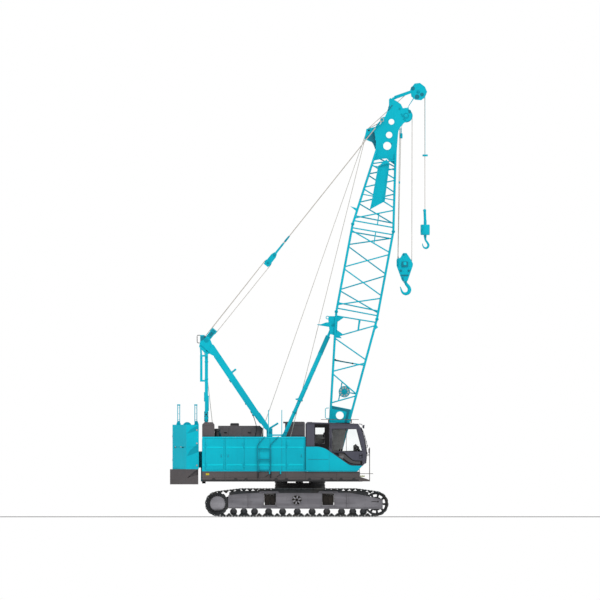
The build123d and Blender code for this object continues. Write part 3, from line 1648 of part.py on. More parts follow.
finish(aux_stop, "aux_stop_weight")

with BuildPart() as aux_ball:
    with Locations((aux_x, 0, (aux_ball_bottom_z + aux_ball_top_z) / 2)):
        Cylinder(aux_ball_radius, aux_ball_top_z - aux_ball_bottom_z)
    fillet(aux_ball.edges().filter_by(GeomType.CIRCLE), 30)
    bar((aux_x, 0, aux_ball_top_z - 10), (aux_x, 0, 9960), 100)
    bar((aux_x, 0, 9900), (aux_x - 15, 0, 10285), 90)
finish(aux_ball, "aux_ball")

with BuildPart() as aux_hook:
    hook_shape(
        aux_x + 24, aux_hook_centre_z, aux_hook_outer_radius, aux_hook_inner_radius, 56, 9360, 56
    )
    with Locations((aux_x, 0, aux_ball_bottom_z - seat_gap - 50)):
        Cylinder(50, 100)
finish(aux_hook, "aux_hook")
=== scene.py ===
import math

import bmesh
import bpy
from mathutils import Matrix, Vector


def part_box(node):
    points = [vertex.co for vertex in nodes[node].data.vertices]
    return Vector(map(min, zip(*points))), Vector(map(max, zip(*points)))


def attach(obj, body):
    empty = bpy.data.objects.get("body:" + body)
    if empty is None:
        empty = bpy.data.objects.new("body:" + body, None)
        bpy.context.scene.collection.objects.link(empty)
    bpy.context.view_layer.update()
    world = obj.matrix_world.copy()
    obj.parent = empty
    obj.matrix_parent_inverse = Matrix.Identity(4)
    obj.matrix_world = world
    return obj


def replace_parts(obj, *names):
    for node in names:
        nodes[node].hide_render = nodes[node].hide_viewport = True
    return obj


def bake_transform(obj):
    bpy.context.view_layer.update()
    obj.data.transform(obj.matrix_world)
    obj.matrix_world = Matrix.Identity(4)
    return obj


# A crawler crane: the finish of every surface and the fine pieces on the fixed frame.
# Metres. +X is the boom's side, +Y the machine's left, +Z up.

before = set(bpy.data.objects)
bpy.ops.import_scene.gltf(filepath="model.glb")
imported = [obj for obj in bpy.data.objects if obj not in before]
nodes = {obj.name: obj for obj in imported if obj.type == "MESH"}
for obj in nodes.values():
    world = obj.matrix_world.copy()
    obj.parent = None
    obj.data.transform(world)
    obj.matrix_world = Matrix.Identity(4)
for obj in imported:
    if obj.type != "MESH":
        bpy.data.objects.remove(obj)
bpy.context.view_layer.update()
scene = bpy.context.scene

# Directions, and the signs and names of the machine's two sides
X = Vector((1, 0, 0))
Y = Vector((0, 1, 0))
Z = Vector((0, 0, 1))
ends = (-1, 1)
sides = {"right": -1, "left": 1}

# Places on the machine
boom_angle = math.radians(79.4)
boom_way = Vector((math.cos(boom_angle), 0, math.sin(boom_angle)))
boom_forward = Vector((math.sin(boom_angle), 0, -math.cos(boom_angle)))
foot_pin = Vector((1.0584, 0, 1.5624))
point_pin = Vector((3.56126, 0, 13.46308))
aux_pin = Vector((3.97501, 0, 14.27685))
gantry_pin = Vector((-3.142, 0, 5.93))
stay_way = Vector((0.62313, 0, 0.78212))
stay_rise = Vector((-0.78212, 0, 0.62313))
track_y = 2.02
house_y = 1.6
rope_radius = 0.011


def boom_point(along, forward, y=0.0):
    """A point given along the boom and forward of its axis."""
    return foot_pin + boom_way * along + boom_forward * forward + Y * y


def stay_point(along, rise, y=0.0):
    """A point given along the line from the gantry's head to the boom's head."""
    return gantry_pin + stay_way * along + stay_rise * rise + Y * y


def beside(point, y):
    """The same place at another distance from the machine's middle."""
    return Vector((point[0], y, point[-1]))


def near(middle, half):
    """The span from half a width before a place to half a width after it."""
    return (middle - half, middle + half)


def around(steps, first=0.0):
    """The angles of evenly spaced steps round a circle."""
    return [first + math.tau * step / steps for step in range(steps)]


def round_way(turn):
    """The direction of an angle in the side view, from +X up to +Z."""
    return Vector((math.cos(turn), 0, math.sin(turn)))


# Camera, light and floor
pixel = 0.0336
photo_size = 600
ground_row = 516.5
middle_row = 300

camera_data = bpy.data.cameras.new("camera")
camera_data.type = "ORTHO"
camera_data.ortho_scale = photo_size * pixel
camera_data.clip_end = 400
camera = bpy.data.objects.new("camera", camera_data)
camera.location = (0, -60, (ground_row - middle_row) * pixel)
camera.rotation_euler = (math.radians(90), 0, 0)
scene.collection.objects.link(camera)
scene.camera = camera
scene.view_settings.view_transform = "Standard"


def linear(colour):
    """A colour given from 0 to 255 as it looks, as the shader takes it."""
    shown = [value / 255 for value in colour]
    return tuple(v / 12.92 if v <= 0.04045 else ((v + 0.055) / 1.055) ** 2.4 for v in shown) + (1.0,)


def add_node(tree, kind, inputs, **settings):
    """A node with its settings, whose inputs are constants or other nodes' sockets."""
    node = tree.nodes.new("ShaderNode" + kind)
    for name, value in settings.items():
        setattr(node, name, value)
    for socket, value in inputs.items():
        if isinstance(value, bpy.types.NodeSocket):
            tree.links.new(value, node.inputs[socket])
        else:
            node.inputs[socket].default_value = value
    return node


def make_world(ambient=0.62):
    """A soft even studio, white where it is seen straight, in gloss or through glass."""
    scene.world = bpy.data.worlds.new("studio")
    scene.world.use_nodes = True
    tree = scene.world.node_tree
    tree.nodes.clear()
    ray = add_node(tree, "LightPath", {}).outputs
    seen = {0: ray["Is Camera Ray"], 1: ray["Is Transmission Ray"]}
    seen = add_node(tree, "Math", seen, operation="MAXIMUM").outputs[0]
    seen = add_node(tree, "Math", {0: seen, 1: ray["Is Glossy Ray"]}, operation="MAXIMUM").outputs[0]
    white = (1, 1, 1, 1)
    lights = [add_node(tree, "Background", {"Color": white, "Strength": light}) for light in (ambient, 1.0)]
    mixed = add_node(tree, "MixShader", {0: seen, 1: lights[0].outputs[0], 2: lights[1].outputs[0]})
    add_node(tree, "OutputWorld", {"Surface": mixed.outputs[0]})


def make_sun(name, strength, spread, towards):
    """A soft distant lamp that shines along a direction."""
    data = bpy.data.lights.new(name, "SUN")
    data.energy = strength
    data.angle = math.radians(spread)
    lamp = bpy.data.objects.new(name, data)
    lamp.rotation_mode = "QUATERNION"
    lamp.rotation_quaternion = Vector(towards).to_track_quat("-Z", "Y")
    scene.collection.objects.link(lamp)


make_world()
make_sun("key", 1.5, 30, (-0.55, 0.75, -0.9))
make_sun("fill", 0.5, 60, (0.8, 0.3, -0.35))


# Materials: colours are given as they look, from 0 to 255
class Maker:
    """A material whose nodes are added and linked in short calls."""

    def __init__(self, name):
        self.material = bpy.data.materials.new(name)
        self.material.use_nodes = True
        self.tree = self.material.node_tree
        self.shader = self.tree.nodes["Principled BSDF"]
        self.place = self.add("TexCoord", {}).outputs["Object"]

    def add(self, kind, inputs, **settings):
        return add_node(self.tree, kind, inputs, **settings)

    def noise(self, scale, detail, stretch=None, turn=0.0):
        """Noise by place, stretched along the axes and turned about Y."""
        place = self.place
        if stretch:
            mapping = {"Vector": place, "Scale": stretch, "Rotation": (0, turn, 0)}
            place = self.add("Mapping", mapping).outputs["Vector"]
        return self.add("TexNoise", {"Vector": place, "Scale": scale, "Detail": detail}).outputs["Fac"]

    def span(self, source, band, share=(0.0, 1.0)):
        """A value's band mapped to a share from low to high."""
        inputs = {"Value": source, "From Min": band[0], "From Max": band[1]}
        inputs.update({"To Min": share[0], "To Max": share[1]})
        return self.add("MapRange", inputs).outputs["Result"]

    def patches(self, scale, detail, band, share=(0.0, 1.0), stretch=None, turn=0.0):
        """Patches of noise of a size, from one share to another."""
        return self.span(self.noise(scale, detail, stretch, turn), band, share)

    def math(self, operation, first, second):
        return self.add("Math", {0: first, 1: second}, operation=operation).outputs[0]

    def mix(self, share, first, second):
        """Two colours or sockets, mixed by a share."""
        first, second = [linear(v) if isinstance(v, (tuple, list)) else v for v in (first, second)]
        return self.add("Mix", {0: share, 6: first, 7: second}, data_type="RGBA").outputs[2]

    def edges(self, radius):
        """How much a point lies on an edge, from the turn of its rounded normal."""
        rounded = self.add("Bevel", {"Radius": radius}, samples=4).outputs["Normal"]
        flat = self.add("NewGeometry", {}).outputs["Normal"]
        dot = self.add("VectorMath", {0: rounded, 1: flat}, operation="DOT_PRODUCT")
        return self.span(dot.outputs["Value"], (0.98, 0.8))

    def worn(self, base, colour, radius, scale, detail, band, share):
        """The base with its edges worn in patches."""
        chips = self.math("MULTIPLY", self.edges(radius), self.patches(scale, detail, band, share))
        return self.mix(chips, base, colour)

    def height(self, low, high):
        """From 1 at a low height above the ground to 0 at a high one."""
        split = self.add("SeparateXYZ", {0: self.place})
        return self.span(split.outputs["Z"], (low, high), (1.0, 0.0))

    def finish(self, base, roughness, *bumps, **values):
        """Links the colour and roughness, sets other values and adds bump from heights and depths."""
        values = {name.replace("_", " "): value for name, value in values.items()}
        normal = None
        for source, depth in bumps:
            inputs = {"Height": source, "Distance": depth, "Strength": 1.0}
            if normal:
                inputs["Normal"] = normal
            normal = self.add("Bump", inputs).outputs["Normal"]
        for name, value in {"Base Color": base, "Roughness": roughness, "Normal": normal, **values}.items():
            if isinstance(value, bpy.types.NodeSocket):
                self.tree.links.new(value, self.shader.inputs[name])
            elif value is not None:
                self.shader.inputs[name].default_value = value
        return self.material


def rough(make, scale, detail, low, high, band=(0.3, 0.7)):
    """Roughness that drifts between two values."""
    return make.patches(scale, detail, band, (low, high))


def scaled(colour, factor, more=0):
    """A colour made darker or brighter."""
    return [min(255, int(value * factor + more)) for value in colour]


dust_colour = (128, 118, 104)
even = (0.35, 0.65)


def painted(
    name, colour, shade, roughness, worn, dust=0.0, dust_top=1.2, grain=0.0002, wear=0.5, coat=0.0, gloss=0.3
):
    """Sprayed paint: slow drift of tone, fine orange peel, worn edges and dust from below."""
    make = Maker(name)
    base = make.mix(make.patches(0.9, 4.0, even), colour, shade)
    base = make.mix(make.patches(34.0, 2.0, (0.62, 0.8), (0.0, 0.25)), base, shade)
    streak = make.patches(5.0, 3.0, (0.56, 0.8), (0.0, 0.22), stretch=(3.0, 3.0, 0.25))
    base = make.mix(streak, base, scaled(shade, 0.78))
    base = make.worn(base, worn, 0.006, 26.0, 4.0, (0.5, 0.62), (0.0, wear))
    if dust:
        cover = make.patches(3.0, 5.0, (0.3, 0.7), (0.2, dust))
        base = make.mix(make.math("MULTIPLY", make.height(0.0, dust_top), cover), base, dust_colour)
    values = {"Specular_IOR_Level": gloss, "Coat_Weight": coat, "Coat_Roughness": 0.2}
    bumps = (make.noise(1.6, 1.0), 0.003), (make.noise(420.0, 2.0), grain)
    return make.finish(base, rough(make, 7.0, 4.0, roughness - 0.07, roughness + 0.1), *bumps, **values)


def crawler_paint(name, colour, shade):
    """Grey paint with slanting streaks of painted sheen, mud on its faces and black grease low down."""
    make = Maker(name)
    # Slanting lighter and darker streaks across the side frames: painted sheen.
    diagonal_sheen = make.patches(1.2, 3.0, (0.38, 0.62), stretch=(0.5, 1.0, 7.0), turn=math.radians(48))
    base = make.mix(diagonal_sheen, colour, shade)
    base = make.mix(make.patches(2.2, 5.0, (0.52, 0.75), (0.0, 0.3)), base, scaled(colour, 1, 26))
    base = make.worn(base, (172, 168, 164), 0.006, 26.0, 4.0, (0.48, 0.6), (0.0, 0.7))
    smears = make.patches(9.0, 4.0, (0.3, 0.6), (0.75, 1.0))
    base = make.mix(make.math("MULTIPLY", make.height(0.2, 0.27), smears), base, (30, 32, 33))
    bumps = (make.noise(1.6, 1.0), 0.003), (make.noise(300.0, 3.0), 0.0004)
    return make.finish(base, rough(make, 7.0, 4.0, 0.45, 0.65), *bumps, Specular_IOR_Level=0.3)


def ladder_material():
    """Cyan paint in painted shade from the deck up to the roof, in painted light above the roof's edge, and
    dark grey on the lowest bars below the deck.
    """
    make = Maker("ladder_paint")
    base = make.mix(make.patches(3.0, 4.0, even), (0, 142, 162), (0, 126, 146))
    # Lighter above the roof's edge: painted light.
    base = make.mix(make.height(2.69, 2.72), (40, 184, 202), base)
    base = make.mix(make.height(1.49, 1.52), base, (44, 42, 46))
    base = make.worn(base, (150, 165, 168), 0.004, 30.0, 4.0, (0.5, 0.62), (0.0, 0.6))
    grain = (make.noise(260.0, 2.0), 0.0003)
    return make.finish(base, rough(make, 9.0, 3.0, 0.38, 0.58), grain, Specular_IOR_Level=0.2)


def frame_material():
    """Cyan paint on the frame's upper parts, black underneath and round the slewing ring."""
    make = Maker("frame_paint")
    base = make.mix(make.patches(1.4, 4.0, even), (0, 176, 196), (0, 162, 182))
    base = make.mix(make.patches(2.6, 6.0, (0.5, 0.78), (0.0, 0.6)), base, (18, 74, 84))
    base = make.mix(make.height(1.185, 1.2), base, (26, 27, 30))
    base = make.worn(base, (140, 160, 162), 0.006, 26.0, 4.0, (0.5, 0.62), (0.0, 0.5))
    bumps = (make.noise(1.6, 1.0), 0.003), (make.noise(300.0, 3.0), 0.0003)
    return make.finish(base, rough(make, 7.0, 4.0, 0.4, 0.6), *bumps, Specular_IOR_Level=0.2)


def metal(name, colour, shade, roughness, metallic, dirt=None, dirt_amount=0.5, grain=0.0006, scale=60.0):
    """Cast or rolled metal: two tones, bright worn edges, dirt in patches."""
    make = Maker(name)
    base = make.mix(make.patches(6.0, 6.0, (0.3, 0.7)), colour, shade)
    if dirt:
        base = make.mix(make.patches(2.4, 8.0, (0.45, 0.7), (0.0, dirt_amount)), base, dirt)
    base = make.worn(base, scaled(colour, 1.5, 30), 0.005, 18.0, 3.0, (0.35, 0.6), (0.1, 0.8))
    bumps = (make.noise(scale, 6.0), grain), (make.noise(4.0, 3.0), grain * 3)
    drift = rough(make, 11.0, 4.0, roughness - 0.1, roughness + 0.12)
    return make.finish(base, drift, *bumps, Metallic=metallic)


def rope_material():
    """Greased steel strands laid round the rope."""
    make = Maker("rope_steel")
    base = make.mix(make.patches(38.0, 4.0, even), (202, 196, 188), (176, 170, 162))
    base = make.mix(make.patches(2.0, 5.0, (0.5, 0.75), (0.0, 0.4)), base, (132, 124, 114))
    grain = (make.noise(700.0, 2.0), 0.0004)
    return make.finish(base, rough(make, 60.0, 2.0, 0.38, 0.6), grain, Metallic=0.3)


def glass_material():
    """Clear safety glass with a faint green-grey tint and a little dust."""
    make = Maker("window_glass")
    base = make.mix(make.patches(3.0, 5.0, (0.35, 0.75)), (254, 255, 255), (247, 250, 250))
    film = rough(make, 9.0, 4.0, 0.0, 0.02, (0.4, 0.8))
    return make.finish(base, film, (make.noise(1.2, 1.0), 0.0003), Transmission_Weight=1.0, IOR=1.12)


def fabric_material():
    """Woven seat cover: crossing threads with lint."""
    make = Maker("seat_fabric")
    warp, weft = [make.noise(900.0, 1.0, stretch) for stretch in ((1.0, 0.12, 1.0), (0.12, 1.0, 1.0))]
    weave = make.math("MAXIMUM", warp, weft)
    base = make.mix(make.span(weave, (0.4, 0.75)), (52, 52, 56), (84, 84, 88))
    return make.finish(base, 0.92, (weave, 0.0009), (make.noise(24.0, 4.0), 0.002), Sheen_Weight=0.25)


def plastic_material(name, colour, shade, roughness, gloss=0.5):
    """Moulded plastic or rubber with a fine texture."""
    make = Maker(name)
    base = make.mix(make.patches(12.0, 5.0, (0.35, 0.7)), colour, shade)
    base = make.worn(base, scaled(colour, 1, 50), 0.003, 30.0, 2.0, (0.45, 0.6), (0.0, 0.5))
    grain = (make.noise(500.0, 2.0), 0.0003)
    drift = rough(make, 20.0, 3.0, roughness - 0.06, roughness + 0.1)
    return make.finish(base, drift, grain, Specular_IOR_Level=gloss)


def lamp_material(name, colour, shade, painted_glint_glow):
    """A lamp's lens: ribbed clear plastic, with a faint glow as a painted glint where it catches light."""
    make = Maker(name)
    ribs = make.patches(70.0, 1.0, (0.4, 0.6), stretch=(1.0, 1.0, 0.2))
    values = {"Coat_Weight": 0.6, "Emission_Color": linear(colour), "Emission_Strength": painted_glint_glow}
    return make.finish(make.mix(ribs, colour, shade), 0.18, (ribs, 0.001), **values)


chipped_cyan = (150, 178, 180)
chipped_grey = (150, 146, 144)
track_mud = (74, 66, 56)
satin = {"worn": chipped_cyan, "wear": 0.3, "gloss": 0.12}
cyan = painted("cyan_paint", (0, 184, 204), (0, 173, 194), 0.42, coat=0.04, **satin)
# A lit and a shaded copy of the cyan paint: painted light on faces that should look brighter, and painted
# shade on pins, scoops, sleeves and edges that should look darker.
painted_light_cyan = painted("cyan_painted_light", (0, 203, 221), (0, 194, 212), 0.4, **satin)
painted_shade_cyan = painted("cyan_painted_shade", (0, 158, 178), (0, 146, 166), 0.45, **satin)
# Darker cyan for seams and joints, and also as painted shade on latches, guards, sheaves and bands of the
# boom.
seam_and_shade_cyan = painted("cyan_seam_and_painted_shade", (0, 126, 146), (0, 108, 128), 0.5, (120, 150, 152))
grey = painted("grey_paint", (88, 82, 84), (76, 71, 74), 0.5, chipped_grey, dust=0.25, dust_top=2.4)
# Grey paint made lighter as painted light for the hood and the front roof box, which lie in the shade of the
# gantry and house.
painted_light_grey = painted("painted_light_grey", (108, 100, 102), (94, 87, 90), 0.5, chipped_grey, dust=0.2, dust_top=3.4)
cab_grey = painted("cab_grey", (76, 76, 88), (66, 66, 78), 0.42, (140, 140, 146), coat=0.1)
dark = painted("dark_paint", (26, 27, 30), (18, 19, 22), 0.5, (90, 90, 90), dust=0.1, dust_top=1.4)
# Near black for the fill in the axle windows: the carbody's black, darkened further as painted shade in the
# openings.
window_black_and_shade = painted("axle_window_black_and_shade", (15, 15, 17), (10, 10, 12), 0.6, (60, 60, 60), 0.04, 1.4, gloss=0.1)
weight_grey = painted("weight_grey", (78, 74, 77), (66, 63, 66), 0.62, (135, 132, 130), 0.2, 2.2, 0.0012)
yellow = painted("yellow_paint", (200, 182, 44), (184, 166, 38), 0.45, (120, 110, 70), wear=0.4)
crawler_grey = crawler_paint("crawler_grey", (122, 120, 125), (106, 104, 109))
crawler_light = crawler_paint("crawler_light", (146, 144, 149), (130, 128, 133))
track_steel = metal("track_steel", (38, 44, 46), (26, 31, 33), 0.55, 0.25, track_mud, 0.45)
wheel_steel = metal("wheel_steel", (52, 55, 58), (36, 39, 42), 0.45, 0.4, track_mud, 0.35)
bare_steel = metal("bare_steel", (168, 168, 166), (140, 140, 138), 0.32, 0.85, grain=0.0002, scale=200.0)
rope = rope_material()
glass = glass_material()
fabric = fabric_material()
plastic = plastic_material("black_plastic", (34, 34, 36), (24, 24, 26), 0.5)
rubber = plastic_material("black_rubber", (22, 22, 23), (15, 15, 16), 0.75, gloss=0.15)
# Pale grey for a painted reflection on the cab door's lower window.
window_glint_grey = plastic_material("window_painted_glint", (104, 104, 106), (92, 92, 94), 0.55)
swoop_brown = plastic_material("swoop_rubber", (46, 34, 36), (36, 27, 29), 0.55)
lining = plastic_material("cab_lining", (172, 172, 170), (150, 150, 148), 0.7)
# The lenses and reflectors glow faintly: a painted glint.
lens = lamp_material("lamp_lens", (232, 232, 224), (206, 208, 204), 0.1)
red_lens = lamp_material("red_lens", (190, 24, 20), (150, 14, 12), 0.05)
amber_lens = lamp_material("amber_lens", (150, 158, 44), (110, 120, 34), 0.02)
dark_glass = lamp_material("dark_glass", (50, 51, 53), (40, 41, 43), 0.0)
frame_paint = frame_material()
ladder_paint = ladder_material()

# The record's slot that a fine piece takes from its material, where the piece names no other
slots = {
    "cyan_paint": (cyan, painted_light_cyan, painted_shade_cyan, seam_and_shade_cyan),
    "grey_paint": (grey, yellow, amber_lens, dark),
    "cab_grey": (cab_grey,),
    "black_plastic": (plastic, rubber, lining, swoop_brown, window_glint_grey),
    "window_glass": (dark_glass, lens),
    "seat_fabric": (fabric,),
    "crawler_grey": (crawler_grey, crawler_light, window_black_and_shade),
    "track_steel": (track_steel, wheel_steel),
    "bare_steel": (bare_steel,),
    "rope_steel": (rope,),
    "weight_grey": (red_lens,),
}
slot_of = {material: slot for slot, materials in slots.items() for material in materials}

# The finish of each CAD node, cyan where none is named
drums_and_boxes = ["engine_block", "rear_roof_box", "front_drum", "main_drum", "boom_drum"]
finishes = {
    dark: ["carbody", "slew_ring"],
    crawler_grey: ["side_frame_right", "side_frame_left", "drive_sprockets"],
    track_steel: ["track_right", "track_left", "track_rollers"],
    wheel_steel: ["idler_wheels"],
    grey: ["decks", "cab_roof_guard", "mirror_rail"] + drums_and_boxes,
    # The hood and front roof box take the lighter grey: painted light.
    painted_light_grey: ["engine_hood", "front_roof_box"],
    weight_grey: ["counterweight_base"],
    cab_grey: ["cab_shell", "cab_door"],
    glass: ["cab_glass", "cab_door_glass"],
    fabric: ["cab_seat"],
    plastic: ["cab_console"],
    rope: ["pendants"],
    ladder_paint: ["side_ladder"],
    frame_paint: ["revolving_frame"],
}
finish_of = {name: material for material, names in finishes.items() for name in names}
for name, node in nodes.items():
    node.data.materials.clear()
    node.data.materials.append(finish_of.get(name, cyan))


# Shapes
def new_thing(name, points, faces, material):
    """A named object made from points and faces, which turn outwards."""
    mesh = bpy.data.meshes.new(name)
    mesh.from_pydata([tuple(point) for point in points], [], faces)
    work = bmesh.new()
    work.from_mesh(mesh)
    bmesh.ops.recalc_face_normals(work, faces=work.faces)
    work.to_mesh(mesh)
    work.free()
    mesh.materials.append(material)
    thing = bpy.data.objects.new(name, mesh)
    scene.collection.objects.link(thing)
    return thing


def skin(rings, closed=False):
    """The points and faces of a skin over rings that all have the same count of points."""
    count = len(rings[0])
    faces = []
    for ring in range(len(rings) if closed else len(rings) - 1):
        base = ring * count
        above = (ring + 1) % len(rings) * count
        for step in range(count):
            other = (step + 1) % count
            faces.append([base + step, base + other, above + other, above + step])
    if not closed:
        faces.append(list(range(count))[::-1])
        faces.append([(len(rings) - 1) * count + step for step in range(count)])
    return [point for ring in rings for point in ring], faces


def rope_path(points, step):
    """Points close together along straight runs between given points."""
    points = [Vector(point) for point in points]
    path = [points[0]]
    for start, end in zip(points, points[1:]):
        count = max(1, round((end - start).length / step))
        path += [start.lerp(end, (index + 1) / count) for index in range(count)]
    return path


def both_ways(profile):
    """A turned profile with its half below the middle mirrored above it."""
    return profile + [(radius, -height) for radius, height in reversed(profile)]


def mirror_all(*parts):
    """Each part so far, on the machine's other side too."""
    for part in parts:
        part.mirror()


pieces = []


class Piece:
    """A fine piece in one material that rides on one body: its shapes are added in short calls."""

    def __init__(self, name, material, body="upper", slot=None, bevel=0.0, smooth=38):
        self.name = name
        self.material = material
        self.body = body
        self.slot = slot or slot_of[material]
        self.bevel = bevel
        self.smooth = smooth
        self.points = []
        self.faces = []
        pieces.append(self)

    def made(self):
        """The finished object, on its body, or on none where it runs between two."""
        pieces.remove(self)
        thing = new_thing(self.name, self.points, self.faces, self.material)
        mesh = thing.data
        mesh.polygons.foreach_set("use_smooth", [True] * len(mesh.polygons))
        mesh.set_sharp_from_angle(angle=math.radians(self.smooth))
        if self.bevel:
            cut = thing.modifiers.new("edges", "BEVEL")
            cut.width = self.bevel
            cut.segments = 2
            cut.limit_method = "ANGLE"
            cut.angle_limit = math.radians(40)
            cut.harden_normals = True
        if self.body:
            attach(thing, self.body)
        return thing

    def add(self, points, faces, matrix=None):
        start = len(self.points)
        points = [Vector(point) for point in points]
        self.points += [matrix @ point for point in points] if matrix else points
        self.faces += [[start + index for index in face] for face in faces]

    def mirror(self):
        """Everything so far, on the machine's other side too."""
        self.add([(x, -y, z) for x, y, z in self.points], list(self.faces))

    def box(self, x, y, z, cut=0.004, matrix=None):
        """A block with cut edges between two places along each axis."""
        spans = [sorted(span) for span in (x, y, z)]
        cut = min([cut] + [(high - low) * 0.45 for low, high in spans])
        corners = [tuple(corner >> axis & 1 for axis in range(3)) for corner in range(8)]
        points = []
        index = {}
        for corner in corners:
            for flush in range(3):
                index[corner, flush] = len(points)
                inset = [0 if axis == flush else cut for axis in range(3)]
                places = zip(spans, corner, inset)
                points.append([high - by if end else low + by for (low, high), end, by in places])
        faces = [[index[corner, flush] for flush in range(3)] for corner in corners]
        for axis in range(3):
            one, two = [other for other in range(3) if other != axis]

            def corner_at(end, first, second):
                place = [end, end, end]
                place[one], place[two] = first, second
                return tuple(place)

            for end in (0, 1):
                loop = ((0, 0), (1, 0), (1, 1), (0, 1))
                faces.append([index[corner_at(end, *pair), axis] for pair in loop])
            for pair in ((0, 0), (0, 1), (1, 0), (1, 1)):
                low, high = corner_at(0, *pair), corner_at(1, *pair)
                faces.append([index[low, one], index[high, one], index[high, two], index[low, two]])
        self.add(points, faces, matrix)

    def bar(self, centre, size, cut=0.004):
        """A block about its centre."""
        self.box(*[(middle - width / 2, middle + width / 2) for middle, width in zip(centre, size)], cut)

    def beam(self, start, end, width, depth, cut=0.004, up=Z):
        """A straight bar of rectangular section, its depth towards up."""
        start, end = Vector(start), Vector(end)
        along = (end - start).normalized()
        side = along.cross(up).normalized()
        matrix = Matrix((along, side, side.cross(along))).transposed().to_4x4()
        matrix.translation = start
        length = (end - start).length
        self.box((0, length), (-width / 2, width / 2), (-depth / 2, depth / 2), cut, matrix)

    def rings(self, rings, closed=False):
        self.add(*skin(rings, closed))

    def tube(self, path, radius, sides=10, lobes=0, twist=0.0):
        """A round bar along a path, or a stranded rope where it has lobes."""
        path = [Vector(point) for point in path]
        rings = []
        side = None
        for place, point in enumerate(path):
            along = (path[min(place + 1, len(path) - 1)] - path[max(place - 1, 0)]).normalized()
            if side is None:
                side = along.cross(Z if abs(along.z) < 0.9 else X)
            side = (side - along * side.dot(along)).normalized()
            other = along.cross(side)
            ring = []
            for turn in around(sides):
                reach = radius
                if lobes:
                    reach *= 0.93 + 0.07 * math.cos(lobes * (turn - twist * place))
                ring.append(point + side * math.cos(turn) * reach + other * math.sin(turn) * reach)
            rings.append(ring)
        self.rings(rings)

    def rope(self, points, step=0.03, sides=12, strands=6, lay=26):
        """A stranded rope along straight runs between points, its lay in degrees a step."""
        self.tube(rope_path(points, step), rope_radius, sides, strands, math.radians(lay))

    def turned(self, profile, origin, axis, sides=24, closed=False):
        """A turned piece: pairs of radius and height about an axis."""
        axis = Vector(axis).normalized()
        side = axis.cross(Z if abs(axis.z) < 0.9 else X).normalized()
        other = axis.cross(side)
        rings = []
        for radius, height in profile:
            centre = Vector(origin) + axis * height
            ways = [side * math.cos(turn) + other * math.sin(turn) for turn in around(sides)]
            rings.append([centre + way * max(radius, 0.0001) for way in ways])
        self.rings(rings, closed)

    def disc(self, origin, axis, radius, half, sides=24, cut=0.003):
        """A round plate about a point, its edges cut."""
        self.turned(both_ways([(radius - cut, -half), (radius, cut - half)]), origin, axis, sides)

    def collar(self, origin, axis, outer, inner, half, sides=24, cut=0.003):
        """A round plate with a round hole."""
        rim = both_ways([(inner, -half), (outer - cut, -half), (outer, cut - half)])
        self.turned(rim, origin, axis, sides, closed=True)

    def bolt(self, origin, axis, radius=0.012, height=0.009):
        """A hexagon head on its washer."""
        self.turned([(radius * 1.25, 0), (radius * 1.25, height * 0.2)], origin, axis, 10)
        head = [(radius, height * 0.2), (radius, height * 0.85), (radius * 0.8, height)]
        self.turned(head, origin, axis, 6)

    def bolts(self, places, axis, radius=0.012, height=0.009):
        for place in places:
            self.bolt(place, axis, radius, height)

    def bolt_ring(self, centre, side, radius, count, size, first=0.0):
        """Bolts on a circle about an axis across the machine."""
        turns = around(count, math.radians(first))
        places = [Vector(centre) + round_way(turn) * radius for turn in turns]
        self.bolts(places, Y * side, size, size * 0.8)

    def pin_head(self, place, side, radius, height):
        """The round head of a pin, its edge cut."""
        profile = [(radius, 0), (radius, height * 0.7), (radius * 0.85, height), (0, height)]
        self.turned(profile, place, Y * side, 20)

    def slab(self, outline, y_from, y_to, matrix=None):
        """A flat piece whose side view is a polygon of (x, z) points."""
        count = len(outline)
        points = [(corner[0], y, corner[-1]) for y in sorted((y_from, y_to)) for corner in outline]
        faces = [list(range(count)), [count + step for step in range(count)][::-1]]
        for step in range(count):
            other = (step + 1) % count
            faces.append([step, other, count + other, count + step])
        self.add(points, faces, matrix)


# Floor
def make_floor(radius=70):
    make = Maker("floor")
    base = make.mix(make.patches(0.4, 3.0, (0.3, 0.7)), (236, 236, 238), (230, 230, 232))
    make.finish(base, 0.9)
    edge = [Vector((math.cos(turn), math.sin(turn), 0)) * radius for turn in around(64)]
    rings = [[point + Z * z for point in edge] for z in (-0.0205, -0.0005)]
    floor = new_thing("floor", *skin(rings), make.material)


make_floor()

# Crawlers: shoes that follow the loop of the track
loop_radius = 0.43
loop_z = loop_radius
sprocket_x = -2.772
idler_x = 2.552
top_run_z = 0.955
top_rear_x = -2.0
top_front_x = 1.9
shoe_count = 66
shoe_phase = 0.42
shoe_depth = 0.04
shoe_half_width = 0.38


def top_turn(centre_x, corner_x, side):
    """The angle on an end circle where the run to a top corner leaves it."""
    rise = top_run_z - loop_radius
    reach = math.hypot(corner_x - centre_x, rise)
    return math.atan2(rise, corner_x - centre_x) + side * math.acos(loop_radius / reach)


